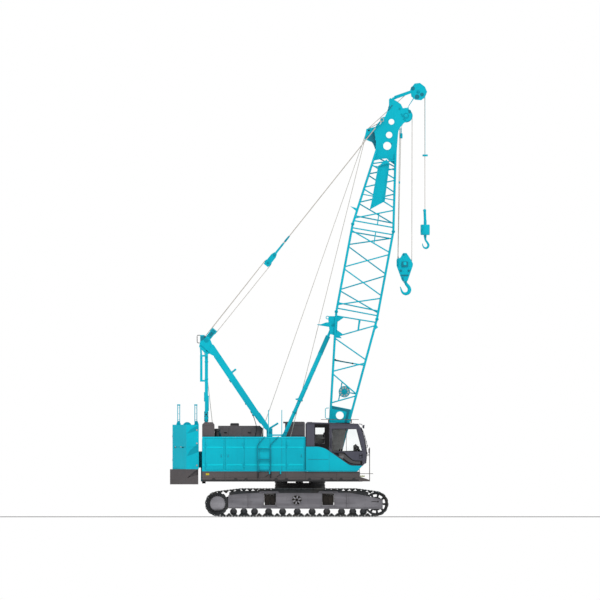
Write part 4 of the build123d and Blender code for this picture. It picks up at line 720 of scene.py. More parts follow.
def loop_runs():
    """The loop's straight runs and arcs, each with its length and a place function."""
    runs = []

    def straight(start, end):
        length = math.dist(start, end)
        way = ((end[0] - start[0]) / length, (end[1] - start[1]) / length)

        def place(distance, depth):
            x = start[0] + way[0] * distance - way[1] * depth
            return Vector((x, 0, start[1] + way[1] * distance + way[0] * depth))

        runs.append((length, place))

    def on_circle(centre_x, turn, depth=0.0):
        reach = loop_radius - depth
        return (centre_x + reach * math.cos(turn), loop_z + reach * math.sin(turn))

    def arc(centre_x, turn_from, turn_to):
        def place(distance, depth):
            x, z = on_circle(centre_x, turn_from + distance / loop_radius, depth)
            return Vector((x, 0, z))

        runs.append(((turn_to - turn_from) * loop_radius, place))

    front_turn = top_turn(idler_x, top_front_x, -1)
    rear_turn = top_turn(sprocket_x, top_rear_x, 1)
    straight((sprocket_x, 0), (idler_x, 0))
    arc(idler_x, -math.pi / 2, front_turn)
    straight(on_circle(idler_x, front_turn), (top_front_x, top_run_z))
    straight((top_front_x, top_run_z), (top_rear_x, top_run_z))
    straight((top_rear_x, top_run_z), on_circle(sprocket_x, rear_turn))
    arc(sprocket_x, rear_turn, 1.5 * math.pi)
    return runs


runs = loop_runs()
loop_length = sum(length for length, _ in runs)
shoe_pitch = loop_length / shoe_count


def loop_place(distance):
    """A place on the loop at the depth of the shoes' pins."""
    distance %= loop_length
    for length, place in runs:
        if distance <= length:
            break
        distance -= length
    return place(min(distance, length), shoe_depth)


def track_shoe(shape, matrix):
    """One shoe: its plate, two bars, knuckles with their pin, and the drive lug."""
    half = shoe_pitch / 2
    width = shoe_half_width
    knuckle_z = -0.017
    shape.box((0.010 - half, half - 0.010), (-width, width), (-0.031, 0.0), 0.005, matrix)
    for bar_x in (-0.052, 0.052):
        bar = near(bar_x, 0.015)
        shape.box(bar, (0.01 - width, width - 0.01), (-shoe_depth, -0.026), 0.004, matrix)
    for edge in ends:
        shape.box((-0.085, 0.085), (edge * 0.24, edge * 0.35), (-0.002, 0.028), 0.008, matrix)
    lug = [(-0.082, 0), (-0.06, 0.018), (-0.032, 0.062), (-0.022, 0.07)]
    shape.slab(lug + [(-x, z) for x, z in reversed(lug)], -0.045, 0.045, matrix)
    axis = matrix.to_3x3() @ Y
    for end, spans in ((-1, ((-0.37, -0.2), (0.03, 0.2))), (1, ((-0.2, -0.03), (0.2, 0.37)))):
        for low, high in spans:
            middle = matrix @ Vector((end * half, (low + high) / 2, knuckle_z))
            shape.disc(middle, axis, 0.0165, (high - low) / 2 - 0.003, 10, 0.002)
    shape.disc(matrix @ Vector((half, 0, knuckle_z)), axis, 0.009, width + 0.006, 8, 0.002)


def make_tracks():
    for name, side in sides.items():
        track = Piece(f"track_shoes_{name}", track_steel, "chassis")
        for shoe in range(shoe_count):
            start = loop_place((shoe + shoe_phase) * shoe_pitch)
            end = loop_place((shoe + shoe_phase + 1) * shoe_pitch)
            along = (end - start).normalized()
            matrix = Matrix((along, Y, along.cross(Y))).transposed().to_4x4()
            matrix.translation = (start + end) / 2 + Y * side * track_y
            track_shoe(track, matrix)
        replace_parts(track.made(), f"track_{name}")


make_tracks()


# Ropes
def arc_path(centre, radius, turn_from, turn_to, y, steps=18):
    """Points on an arc seen from the right side, its turns in degrees from +X up to +Z."""
    turns = [math.radians(turn_from + (turn_to - turn_from) * index / steps) for index in range(steps + 1)]
    return [beside(centre, y) + round_way(turn) * radius for turn in turns]


def tangent(point, centre, radius, side):
    """Where a line from a point touches a circle, on its right or left hand side, and the angle there."""
    away = Vector((point.x - centre.x, point.z - centre.z))
    turn = math.atan2(away.y, away.x) + side * math.acos(radius / away.length)
    return beside(centre, 0) + round_way(turn) * radius, math.degrees(turn) % 360


def rope_piece(name, paths, body):
    """A stranded rope, or several, as one piece."""
    strands = Piece(name, rope, body, smooth=60)
    for path in paths:
        strands.rope(path)
    return strands


drum_layer = 0.255 + rope_radius
drum_z = 2.0
drums = {
    "front_winch": Vector((-0.76, 0, drum_z)),
    "main_winch": Vector((-1.69, 0, drum_z)),
    "boom_winch": Vector((-2.55, 0, drum_z)),
}


def make_windings(y_first=-0.347, y_width=0.716, steps=40):
    """The rope wound on each drum."""
    pitch = rope_radius * 2 + 0.0006
    for body, centre in drums.items():
        winding = Piece(f"winding_{body}", rope, body, smooth=60)
        path = []
        for step in range(int(y_width / pitch) * steps + 1):
            y = y_first + pitch * step / steps
            path.append(centre + round_way(math.tau * step / steps) * drum_layer + Y * y)
        winding.tube(path, rope_radius, 6)


make_windings()

horn = Vector((2.316, 0, 12.975))
horn_roller = 0.05
horn_radius = horn_roller + rope_radius
sheave_groove = 0.195 + rope_radius
guide_roller = Vector((-1.1735, 0, 3.03))
guide_roller_radius = 0.035
guide_radius = guide_roller_radius + rope_radius


def make_hoist_rope(name, body, y, sheave_y, sheave, guided):
    """From a drum up behind the boom, over the horn, to a head sheave."""
    _, leave_turn = tangent(sheave, horn, horn_radius, 1)
    to_sheave, _ = tangent(horn, sheave, sheave_groove, -1)
    drum = drums[body]
    below = guide_roller if guided else drum
    reach, reach_turn = tangent(below, horn, horn_radius, -1)
    if guided:
        start, _ = tangent(guide_roller, drum, drum_layer, -1)
        low = guide_roller - X * guide_radius
        rope_piece(f"{name}_lead", [[beside(start, y), beside(low, y)]], "upper")
    else:
        low, _ = tangent(horn, drum, drum_layer, -1)
    # The long run has points only at its two ends, so it stays straight when the boom is lowered
    start, end = beside(low, y), beside(reach, y)
    run = Piece(f"{name}_run", rope, None, smooth=60)
    run.tube([start, end], rope_radius, 24, lobes=6)
    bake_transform(run.made())
    bend = arc_path(horn, horn_radius, reach_turn, leave_turn, y, 14)
    rope_piece(f"{name}_upper", [bend + [beside(to_sheave, sheave_y)]], "boom")


make_hoist_rope("main_hoist_rope", "main_winch", 0.11, 0.13, point_pin, guided=True)
make_hoist_rope("aux_hoist_rope", "front_winch", -0.1, 0.0, aux_pin, guided=False)


def make_falls():
    """The main and auxiliary falls below the head sheaves, and the rope on the sheaves."""
    block = Vector((3.52, 0, 8.5))
    block_groove = 0.225 + rope_radius
    falls = Piece("main_falls_ropes", rope, None, smooth=60)
    for top_y, low_y, side in ((0.13, 0.065, 1), (0.0, -0.065, 1), (0.0, 0.065, -1), (-0.13, -0.065, -1)):
        low = block + Vector((side * block_groove, low_y, 0))
        falls.rope([low, point_pin + Vector((side * sheave_groove, top_y, 0))])
    falls.rope([(3.295, -0.1, 8.66), (3.385, -0.1, 12.71)])
    clip = Piece("dead_end_clip", cyan, None)
    clip.box((3.31, 3.365), (-0.125, -0.075), (11.19, 11.26), 0.01)
    for part in (falls, clip):
        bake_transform(part.made())
    on_sheaves = [arc_path(point_pin, sheave_groove, 0, 118, 0.13)]
    on_sheaves += [arc_path(point_pin, sheave_groove, 0, 180, y) for y in (0.0, -0.13)]
    rope_piece("main_sheave_ropes", on_sheaves, "main_falls")
    on_block = [arc_path(block, block_groove, 180, 360, y) for y in (0.065, -0.065)]
    rope_piece("block_sheave_ropes", on_block, "main_block")
    aux_groove = 0.205 + rope_radius
    top = (aux_pin.x + aux_groove, 0, aux_pin.z)
    fall = rope_piece("aux_falls_rope", [[(4.198, 0, 10.2), top]], None)
    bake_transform(fall.made())
    rope_piece("aux_sheave_rope", [arc_path(aux_pin, aux_groove, 0, 125, 0.0)], "aux_falls")


make_falls()


def make_boom_hoist():
    """The reeving between the spreaders, and the rope from the rear drum over the gantry's head."""
    lower_at, upper_at = 0.35, 3.321
    lead_y = 0.262
    ten_parts = {"sides": 10, "strands": 5, "lay": 30}
    reeving = Piece("boom_hoist_reeving", rope, None, smooth=60)
    for step in range(-2, 3):
        for side in ends:
            start = stay_point(lower_at, side * 0.101, step * 0.108)
            reeving.rope([start, stay_point(upper_at, side * 0.116, step * 0.088)], **ten_parts)
    reeving.rope([stay_point(0.0, 0.112, lead_y), stay_point(upper_at, 0.124, 0.2)], **ten_parts)
    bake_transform(reeving.made())
    drum = drums["boom_winch"]
    guide = 0.101 + rope_radius
    foot, _ = tangent(gantry_pin, drum, drum_layer, 1)
    _, head_turn = tangent(drum, gantry_pin, guide, -1)
    over = arc_path(gantry_pin, guide, head_turn, 95, lead_y, 20)
    rope_piece("boom_hoist_rope", [[beside(foot, lead_y)] + over], "upper")


make_boom_hoist()

# Wheels of the crawlers
wheel_radius = 0.388
wheel_half = 0.15
sprocket = Vector((sprocket_x, track_y, loop_z))
idler = Vector((idler_x, track_y, loop_z))


def circle_points(centre, radius, turns):
    return [centre + round_way(turn) * radius for turn in turns]


def wheel_plate(shape, centre, y_from, y_to, outer, inner, windows, window_in, window_out, share, first):
    """A flat wheel whose web has windows between spokes, from rim, spokes and hub."""
    spoke = 360 / windows
    half = share / 2
    for part in range(windows):
        middle = first + part * spoke
        window = [math.radians(middle + spoke * (share * step / 4 - half)) for step in range(5)]
        rib = [math.radians(middle + spoke * (half + (1 - share) * step / 4)) for step in range(5)]
        areas = ((window, outer, window_out), (window, window_in, inner), (rib, outer, inner))
        for turns, out, into in areas:
            outline = circle_points(centre, out, turns) + circle_points(centre, into, turns[::-1])
            shape.slab(outline, y_from, y_to)


def toothed(centre, teeth, profile):
    """The outline of a toothed wheel from the shares and reaches of one tooth."""
    outline = []
    for tooth in range(teeth):
        for share, reach in profile:
            outline.append(centre + round_way(math.tau * (tooth + share) / teeth) * reach)
    return outline


def make_idlers():
    wheels = Piece("idler_wheels_fine", wheel_steel, "chassis")
    for edge in ends:
        ys = (track_y + edge * 0.055, track_y + edge * wheel_half)
        wheel_plate(wheels, idler, *ys, wheel_radius, 0.06, 9, 0.235, 0.312, 0.62, 17)
        wheels.collar(idler + Y * edge * 0.1, Y, wheel_radius, 0.372, 0.046, 72, 0.006)
    wheels.collar(idler, Y, 0.13, 0.052, wheel_half + 0.004, 32, 0.006)
    wheels.mirror()
    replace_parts(wheels.made(), "idler_wheels")


def make_drive_wheels():
    """Toothed drive wheels in dark steel, their gearboxes and the painted covers with bolts."""
    steel = Piece("drive_wheels_toothed", wheel_steel, "chassis", slot="crawler_grey")
    paint = Piece("final_drive_covers", crawler_light, "chassis")
    steel.disc(sprocket, Y, 0.3, wheel_half, 48, 0.006)
    tooth = ((0.0, 0.385), (0.3, 0.388), (0.42, 0.372), (0.58, 0.368), (0.74, 0.372), (0.86, 0.386))
    for edge in ends:
        steel.slab(toothed(sprocket, 14, tooth), track_y + edge * 0.055, track_y + edge * wheel_half)
    outer = sprocket + Y * wheel_half
    steel.turned([(0.285, 0.0), (0.285, 0.02), (0.252, 0.024)], outer - Y * 0.004, Y, 48)
    cover = [(0.1, 0), (0.252, 0), (0.252, 0.068), (0.244, 0.078), (0.13, 0.082), (0.12, 0.085), (0, 0.085)]
    paint.turned(cover, outer, Y, 56)
    paint.bolt_ring(outer + Y * 0.078, 1, 0.222, 18, 0.011)
    paint.bolt_ring(outer + Y * 0.02, 1, 0.268, 24, 0.009)
    paint.bolt(sprocket + Y * 0.234, Y, 0.024, 0.01)
    steel.turned([(0.18, 0), (0.18, 0.02), (0.12, 0.03)], sprocket - Y * wheel_half, -Y, 32)
    mirror_all(steel, paint)
    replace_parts(steel.made(), "drive_sprockets")


def make_rollers(roller_z=0.1603):
    """Roller ends and their bearing caps."""
    roller_xs = (-2.234, -1.882, -1.529, -1.055, -0.585, -0.091, 0.407, 0.9, 1.394, 1.774, 2.127)
    caps = Piece("roller_caps", wheel_steel, "chassis")
    rim = [(0.119, 0), (0.119, 0.004), (0.108, 0.012), (0.06, 0.012)]
    for x in roller_xs:
        for edge in ends:
            caps.turned(rim, (x, track_y + edge * 0.14, roller_z), Y * edge)
            y = track_y + edge * 0.2
            caps.disc((x, y, roller_z), Y, 0.048, 0.016, 20)
            caps.bolts([(x + step, y, 0.242) for step in (-0.038, 0.038)], Y * edge, 0.01, 0.03)
    caps.mirror()


def make_skids():
    """The rails on the side frames that carry the track's upper run."""
    outline = [(2.3, 0.62), (1.55, 0.74), (1.3, 0.78), (-1.3, 0.78), (-1.6, 0.76), (-2.38, 0.7)]
    outline += [(-2.38, 0.815), (-2.0, 0.9), (-1.98, 0.868), (-1.42, 0.868), (-1.4, 0.905), (-0.86, 0.905)]
    outline += [(0.86, 0.905), (1.4, 0.905), (1.42, 0.868), (1.9, 0.868), (1.92, 0.9), (2.3, 0.82)]
    skids = Piece("top_run_skids", wheel_steel, "chassis", bevel=0.004)
    for edge in ends:
        skids.slab(outline, track_y + edge * 0.075, track_y + edge * 0.2)
    skids.mirror()


def make_side_frame_details(face=track_y + 0.22):
    """Flanges, cover plates, the hub with spokes, and black fill in the axle windows, the carbody's black
    with painted shade.
    """
    paint = Piece("side_frame_plates", crawler_grey, "chassis")
    black = Piece("axle_window_fill_black_and_shade", window_black_and_shade, "chassis")
    light = Piece("side_frame_hubs", crawler_light, "chassis")

    def plate(x, z, depth=0.006):
        paint.box(x, (face - 0.004, face + depth), z, 0.003)

    for x in (-2.31, -1.9, -0.42, 0.27, 1.55, 2.2):
        plate(near(x, 0.012), (0.4, 0.72))
    for x, z in ((-2.28, 0.53), (-1.62, 0.53), (-0.42, 0.6), (0.28, 0.6)):
        paint.disc((x, face + 0.006, z), Y, 0.026, 0.006, 16)
    plate((-2.35, 2.6), (0.292, 0.318), 0.012)
    for axle_x, sign in ((-1.01, -1), (0.945, 1)):
        for z in ((0.345, 0.372), (0.788, 0.812)):
            plate(near(axle_x, 0.27), z, 0.014)
        y = (face - 0.05, face - 0.012)
        for edge in ends:
            end = axle_x + edge * 0.215
            plate(near(end, 0.012), (0.345, 0.81), 0.014)
            rise = 0.47 if edge == sign else 0.386
            # Black boxes set back in the axle windows: painted shade in the openings round the carbody's
            # black axle ends.
            black.box((axle_x + edge * 0.182, axle_x + edge * 0.199), y, (rise, 0.774), 0.002)
            black.box((axle_x + edge * 0.01, axle_x + edge * 0.166), y, (0.4, 0.715), 0.03)
        black.box(near(axle_x, 0.199), y, (0.731, 0.774), 0.003)
        black.bolt((axle_x, face - 0.02, 0.62), Y, 0.03, 0.018)
    hub = Vector((-0.11, face, 0.555))
    black.disc(hub + Y * 0.002, Y, 0.168, 0.006, 40)
    paint.collar(hub + Y * 0.004, Y, 0.19, 0.165, 0.012, 40)
    for turn in around(6, math.radians(20)):
        way = round_way(turn)
        middle = hub + Y * 0.012
        light.beam(middle + way * 0.05, middle + way * 0.15, 0.046, 0.01, 0.003, Y)
    black.disc(hub + Y * 0.014, Y, 0.045, 0.01, 24)
    light.bolt_ring(hub + Y * 0.014, 1, 0.15, 12, 0.009, 10)
    black.disc((2.62, face + 0.006, 0.5), Y, 0.024, 0.012, 16)
    black.box((2.4, 2.6), (face - 0.002, face + 0.008), (0.49, 0.51), 0.003)
    mirror_all(paint, black, light)


def make_slew_gear(teeth=96, bolts=48):
    """The slewing ring's teeth and bolts, the swivel's guard and the carbody's fittings."""
    steel = Piece("slew_gear", wheel_steel, "chassis", slot="bare_steel")
    black = Piece("carbody_fittings", dark, "chassis", slot="crawler_grey")
    tooth = ((0.0, 0.826), (0.25, 0.842), (0.5, 0.842), (0.75, 0.826))
    outline = toothed(Vector(), teeth, tooth)
    steel.rings([[Vector((point.x, point.z, z)) for point in outline] for z in (1.02, 1.075)])
    places = [(0.8 * math.cos(turn), 0.8 * math.sin(turn), 1.128) for turn in around(bolts)]
    steel.bolts(places, Z, 0.013, 0.012)
    for side in ends:
        for x in (-0.6, -0.2, 0.2, 0.6):
            black.box(near(x, 0.012), (side * 1.0, side * 1.06), (0.5, 0.9))
        black.box((-0.84, 0.84), (side * 0.99, side * 1.07), (0.895, 0.915))
        for x in (-0.7, 0.7):
            black.collar((x, side * 1.03, 0.7), Y, 0.07, 0.035, 0.02, 24)
        for y in (-0.6, 0, 0.6):
            black.box((side * 0.849, side * 0.875), near(y, 0.2), (0.55, 0.84), 0.008)


make_idlers()
make_drive_wheels()
make_rollers()
make_skids()
make_side_frame_details()
make_slew_gear()

# Houses, doors and decks
door_low_z = 1.566
door_high_z = 2.624
swage_bands = ((2.29, 2.36), (1.7, 1.775))
house_doors = (
    # body, side, rear edge, front edge, free edge's sign, louvres
    ("leaf_right_rear", -1, -3.184, -2.556, 1, False),
    ("leaf_right_middle", -1, -2.504, -1.876, -1, False),
    ("leaf_right_front", -1, -0.464, 0.139, 1, False),
    ("leaf_left_rear", 1, -3.184, -2.356, 1, True),
    ("leaf_left_middle", 1, -2.304, -1.476, -1, True),
    ("leaf_left_front", 1, -0.894, 0.139, 1, False),
)


def pressed(shape, section, side, rear, front, base, end_share):
    """A pressed ridge along a panel: its section in depth and height, lower at its two ends."""
    rings = []
    for x, share in ((rear, end_share), (rear + 0.012, 1), (front - 0.012, 1), (front, end_share)):
        rings.append([Vector((x, side * (base + depth * share), z)) for depth, z in section])
    shape.rings(rings)


def swages(shape, side, rear, front):
    """Two pressed bands along a panel, each a shallow ridge with sloping faces."""
    for low, high in swage_bands:
        section = [(0.0, low), (0.011, low + 0.012), (0.011, low + 0.02), (0.0, high)]
        pressed(shape, section, side, rear, front, house_y - 0.003, 0.3)


def hem(shape, side, rear, front, low, high, width=0.016, proud=0.003):
    """A folded edge round a panel."""
    ys = (side * (house_y - 0.003), side * (house_y + proud))
    for z in ((low, low + width), (high - width, high)):
        shape.box((rear, front), ys, z, 0.002)
    for x in ((rear, rear + width), (front - width, front)):
        shape.box(x, ys, (low + width, high - width), 0.002)


def louvres(shape, side, rear, front, low, high):
    """A pressed vent of slanting slats."""
    count = int((high - low) / 0.032)
    for index in range(count):
        z = low + (index + 0.5) * (high - low) / count
        section = [(0.0, z + 0.012), (0.014, z - 0.008), (0.014, z - 0.011), (0.0, z - 0.011)]
        pressed(shape, section, side, rear, front, house_y - 0.002, 0.1)


def make_doors():
    for body, side, rear, front, free, vented in house_doors:
        place = body.replace("leaf_", "")
        paint = Piece(f"door_trim_{place}", cyan, body)
        band = Piece(f"door_band_highlights_{place}", painted_light_cyan, body)
        latch = Piece(f"door_latch_{place}", seam_and_shade_cyan, body)
        # The pressed bands take the lighter cyan: painted light on their faces.
        swages(band, side, rear + 0.03, front - 0.03)
        hem(paint, side, rear, front, door_low_z, door_high_z)
        if vented:
            louvres(paint, side, rear + 0.1, front - 0.1, 1.85, 2.25)
            louvres(paint, side, rear + 0.1, front - 0.1, 2.4, 2.58)
        edge = front - 0.09 if free > 0 else rear + 0.09
        # The latch in darker cyan: painted shade of its handle recess.
        latch.bar((edge, side * (house_y + 0.002), 2.045), (0.044, 0.008, 0.09))
        latch.bar((edge, side * (house_y + 0.009), 2.037), (0.022, 0.01, 0.05))
        latch.disc((edge, side * (house_y + 0.006), 2.076), Y, 0.008, 0.004, 14)
        near = rear if free > 0 else front
        for z in (1.73, 1.79, 2.4, 2.46):
            places = [(near + free * step, side * (house_y + 0.003), z) for step in (0.03, 0.06)]
            paint.bolts(places, Y * side, 0.008, 0.006)


def make_house_walls():
    paint = Piece("house_trim", cyan)
    seam = Piece("house_seams", seam_and_shade_cyan)
    band = Piece("house_band_highlights", painted_light_cyan)
    # The pressed bands on the fixed panels take the lighter cyan: painted light.
    for rear, front in ((-3.288, -3.196), (-1.464, -0.906), (0.151, 0.184)):
        swages(band, 1, rear + 0.01, front - 0.01)
    for rear, front in ((-3.288, -3.196), (-1.864, -0.476), (0.151, 0.184)):
        swages(band, -1, rear + 0.01, front - 0.01)
    gutter = [(0, 2.626), (0.012, 2.63), (0.012, 2.636), (0, 2.644)]
    paint.rings([[Vector((x, house_y - 0.004 + depth, z)) for depth, z in gutter] for x in (-3.27, 0.17)])
    paint.box((-3.285, 0.18), (house_y - 0.002, house_y + 0.006), (1.514, 1.534), 0.003)
    for end, x in ((-1, -3.29), (1, 0.185)):
        for y in (0.95, 1.35):
            paint.box((x - end * 0.002, x + end * 0.005), near(y, 0.012), (1.56, 2.6), 0.002)
        for row in range(8):
            z = 1.75 + row * 0.05
            seam.box((x - end * 0.002, x + end * 0.004), (1.0, 1.3), (z, z + 0.016), 0.002)
    for x in (-2.53, -1.37, -1.01, -0.61, -0.3):
        seam.box(near(x, 0.005), (0.76, 1.53), (2.6795, 2.6835), 0.001)
    mirror_all(paint, seam)
    for side, xs in ((-1, (-1.37, -1.01, -0.61)), (1, (-1.2, -1.05))):
        for x in xs:
            seam.box(near(x, 0.005), (side * 1.599, side * 1.6025), (1.54, 2.62), 0.001)
    paint.box((0.186, 0.24), (-1.664, -1.64), (1.512, 1.56), 0.002)
    gap = Piece("cab_gap_seal", rubber)
    gap.box((0.184, 0.2), (-1.58, -0.74), (1.515, 3.12), 0.003)
    gap.box((0.184, 0.2), (-1.6, -1.57), (1.515, 2.66), 0.003)


def make_decks(face=1.62):
    """The skirts' ledges, a black band in the lower recess and black discs at the access notches as painted
    shade, seams and bolts, with treads on top.
    """
    paint = Piece("deck_trim", grey)
    black = Piece("deck_joints_and_lower_shade", plastic)

    def on_skirt(shape, x, z, proud):
        shape.box(x, (face - 0.003, face + proud), z, 0.002)

    on_skirt(paint, (-3.285, 2.0), (1.494, 1.51), 0.008)
    on_skirt(paint, (-3.285, 2.0), (1.322, 1.336), 0.006)
    for x in (-2.53, -1.4, -0.48, 0.185, 1.23):
        on_skirt(black, near(x, 0.005), (1.245, 1.49), 0.001)
        places = [(x + edge * 0.035, face, z) for edge in ends for z in (1.29, 1.41)]
        paint.bolts(places, Y, 0.01, 0.008)
    # Black in the recess under the skirt and in the notches: painted shade.
    black.box((-3.285, 2.1), (face - 0.06, face - 0.002), (1.172, 1.246))
    for x in (-2.157, -1.812, -0.8, -0.453, 0.32, 1.05, 1.382, 1.81, -2.9, 0.75):
        black.disc((x, face - 0.001, 1.236), Y, 0.062, 0.004, 28, 0.001)
    mirror_all(paint, black)
    for y in [side * (0.74 + column * 0.02) for side in ends for column in range(5)]:
        for row in range(14):
            x = 0.36 + row * 0.11
            paint.beam((x, y, 1.5125), (x + 0.03, y + 0.012, 1.5125), 0.008, 0.006, 0.002)
    black.box((1.95, 2.05), (-1.6, 0.66), (1.19, 1.25))
    sticker = Piece("deck_reflector", yellow)
    sticker.box((-3.166, -3.05), (-1.6225, -1.619), (1.389, 1.453), 0.001)
    tabs = Piece("ladder_feet", cyan)
    for x in (-1.02, -0.654):
        tabs.box(near(x, 0.022), (-1.655, -1.619), (1.425, 1.545), 0.006)
    handles = Piece("skirt_handles", plastic)
    for x in (-1.16, -0.78):
        handles.tube([(x, -1.626, 1.33), (x + 0.12, -1.64, 1.42), (x + 0.13, -1.63, 1.46)], 0.009, 8)
    lamps = Piece("deck_lamps", amber_lens)
    for y in ((-1.6, -1.48), (1.3, 1.44)):
        lamps.box((2.02, 2.18), y, (1.337, 1.372), 0.008)
    screws = Piece("deck_lamp_screws", plastic)
    for x in (2.045, 2.1, 2.155):
        screws.disc((x, -1.54, 1.375), Z, 0.012, 0.004, 12, 0.001)


def make_tank():
    """The tank on the left deck: hems, service panel, filler, treads and gauge."""
    low, high = (Vector(corner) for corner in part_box("tank_box"))
    paint = Piece("tank_trim", cyan)
    seam = Piece("tank_seams", seam_and_shade_cyan)
    black = Piece("tank_latch_and_gauge", plastic)
    for z in ((low.z, low.z + 0.02), (high.z - 0.085, high.z - 0.07)):
        for y in ((high.y - 0.003, high.y + 0.005), (low.y - 0.005, low.y + 0.003)):
            paint.box((low.x + 0.03, high.x - 0.03), y, z, 0.002)
        paint.box((high.x - 0.003, high.x + 0.005), (low.y + 0.03, high.y - 0.03), z, 0.002)
    paint.box((1.1, 1.78), (high.y - 0.004, high.y + 0.009), (1.58, 2.0))
    for x, z in (((1.09, 1.79), (1.57, 2.01)), ((0.74, 0.75), (1.54, 2.03))):
        seam.box(x, (high.y - 0.003, high.y + 0.002), z, 0.001)
    seam.box((high.x - 0.003, high.x + 0.002), (1.195, 1.205), (1.54, 2.03), 0.001)
    for z in (1.66, 1.92):
        hinge = Vector((1.095, high.y + 0.01, z))
        paint.tube([hinge - Z * 0.04, hinge + Z * 0.04], 0.01, 12)
    places = [(x, high.y + 0.009, z) for x in (1.14, 1.44, 1.74) for z in (1.61, 1.97)]
    paint.bolts(places, Y, 0.01, 0.007)
    black.box((1.68, 1.75), (high.y + 0.007, high.y + 0.014), (1.74, 1.84), 0.006)
    latch = [(1.715, high.y + 0.012, 1.755), (1.715, high.y + 0.034, 1.775), (1.715, high.y + 0.034, 1.825)]
    black.tube(latch, 0.007, 8)
    for row in range(20):
        for column in range(8):
            tread = Vector((0.86 + row * 0.045, 0.9 + column * 0.085 + row % 2 * 0.02, high.z))
            paint.beam(tread, tread + Vector((0.026, 0.018, 0)), 0.009, 0.006, 0.002)
    for x, y in ((0.42, 0.894), (0.42, 1.494), (1.8, 0.864), (1.8, 1.524)):
        paint.collar((x, y, high.z + 0.022), Y, 0.032, 0.016, 0.012, 20)
    filler = Vector((0.6, 1.28, high.z))
    paint.collar(filler - Z * 0.002, Z, 0.085, 0.055, 0.014, 32)
    places = [filler + Vector((math.cos(turn), math.sin(turn), 0)) * 0.072 + Z * 0.012 for turn in around(6)]
    paint.bolts(places, Z, 0.007, 0.006)
    cap = Piece("tank_filler_cap", dark)
    neck = [(0.056, 0), (0.056, 0.05), (0.064, 0.056), (0.066, 0.078), (0.058, 0.09), (0.02, 0.096)]
    cap.turned(neck, filler, Z, 28)
    grip = filler + Z * 0.1
    cap.beam(grip - X * 0.04, grip + X * 0.04, 0.014, 0.022, 0.005)
    black.box((high.x - 0.002, high.x + 0.008), (1.33, 1.365), (1.6, 1.98), 0.005)
    black.bolts([(high.x + 0.008, 1.3475, z) for z in (1.615, 1.965)], X, 0.011, 0.01)
    gauge = Piece("tank_gauge_glass", dark_glass)
    gauge.box((high.x + 0.006, high.x + 0.011), (1.339, 1.356), (1.64, 1.94), 0.003)


def make_roof():
    """The intake, exhaust and grilles, the trim of the roof boxes and hood, the step and a conduit."""
    black = Piece("roof_vents", plastic)
    paint = Piece("roof_box_trim", grey)
    rail = Piece("roof_step", cyan)
    black.box((-2.346, -2.046), (0.994, 1.246), (3.052, 3.13), 0.02)
    for row in range(9):
        y = 1.02 + row * 0.025
        black.box((-2.32, -2.07), (y, y + 0.008), (3.128, 3.138), 0.002)
    profile = [(0.075, 0), (0.075, 0.17), (0.11, 0.185), (0.115, 0.25), (0.1, 0.268), (0.03, 0.275)]
    black.turned(profile, (-2.79, -1.15, 2.681), Z, 28)
    elbow = [(-2.79, -1.15, 2.86), (-2.74, -1.0, 2.84), (-2.7, -0.86, 2.77), (-2.7, -0.8, 2.68)]
    black.tube(elbow, 0.05, 16)
    for x in (-2.6, -1.9, -1.5):
        for row in range(10):
            z = 2.74 + row * 0.026
            black.box(near(x, 0.12), (1.538, 1.545), (z, z + 0.012), 0.002)
    for row in range(16):
        x = -0.45 + row * 0.035
        black.box((x, x + 0.014), (0.84, 1.42), (3.183, 3.19), 0.002)
    for rear, front, low_y, high_y in ((-3.288, -2.872, -1.5, -0.76), (-0.503, 0.165, 0.76, 1.5)):
        for y, out in ((low_y, -1), (high_y, 1)):
            for z in (2.72, 3.06):
                span = (y - out * 0.002, y + out * 0.006)
                paint.box((rear + 0.05, front - 0.05), span, (z, z + 0.016), 0.002)
            places = [(x, y, z) for x in (rear + 0.06, front - 0.06) for z in (2.71, 2.9, 3.08)]
            paint.bolts(places, Y * out, 0.009, 0.007)
    for x in (-2.7, -2.4, -1.95, -1.65, -1.35):
        paint.box(near(x, 0.006), (0.796, 0.802), (2.72, 2.98), 0.002)
        paint.bolts([(x + 0.05, 0.8, z) for z in (2.72, 2.96)], -Y, 0.009, 0.007)
    paint.box((-2.75, -1.35), (0.795, 0.802), (2.695, 2.707), 0.002)
    for x in (-2.5, -1.7):
        black.box(near(x, 0.05), (0.786, 0.802), (2.8, 2.84), 0.005)
    for y in (-1.47, -1.0):
        rail.beam((-1.07, y, 2.735), (-0.6, y, 2.735), 0.03, 0.05)
    for x in (-1.05, -0.62):
        rail.box(near(x, 0.02), (-1.52, -0.98), (2.682, 2.712))
    for row in range(9):
        x = -1.04 + row * 0.052
        rail.box((x, x + 0.012), (-1.46, -1.01), (2.72, 2.745), 0.003)
    pipe = Piece("gantry_conduit", rubber)
    bend = [(-1.6, -0.66, 3.42), (-1.555, -0.68, 3.34), (-1.515, -0.7, 3.22), (-1.475, -0.73, 3.08)]
    bend += [(-1.462, -0.76, 2.96), (-1.475, -0.79, 2.83), (-1.5, -0.8, 2.74), (-1.505, -0.8, 2.676)]
    pipe.tube(bend, 0.011, 10)
    pipe.disc((-1.505, -0.8, 2.684), Z, 0.03, 0.006, 16)
    pipe.disc((-1.585, -0.665, 3.4), (0.6, 0, -0.8), 0.02, 0.02, 14)
    lug = Piece("gantry_conduit_lug", cyan, bevel=0.004)
    lug.slab([(-1.62, 3.44), (-1.5, 3.6), (-1.42, 3.5), (-1.55, 3.37), (-1.6, 3.39)], -0.675, -0.655)


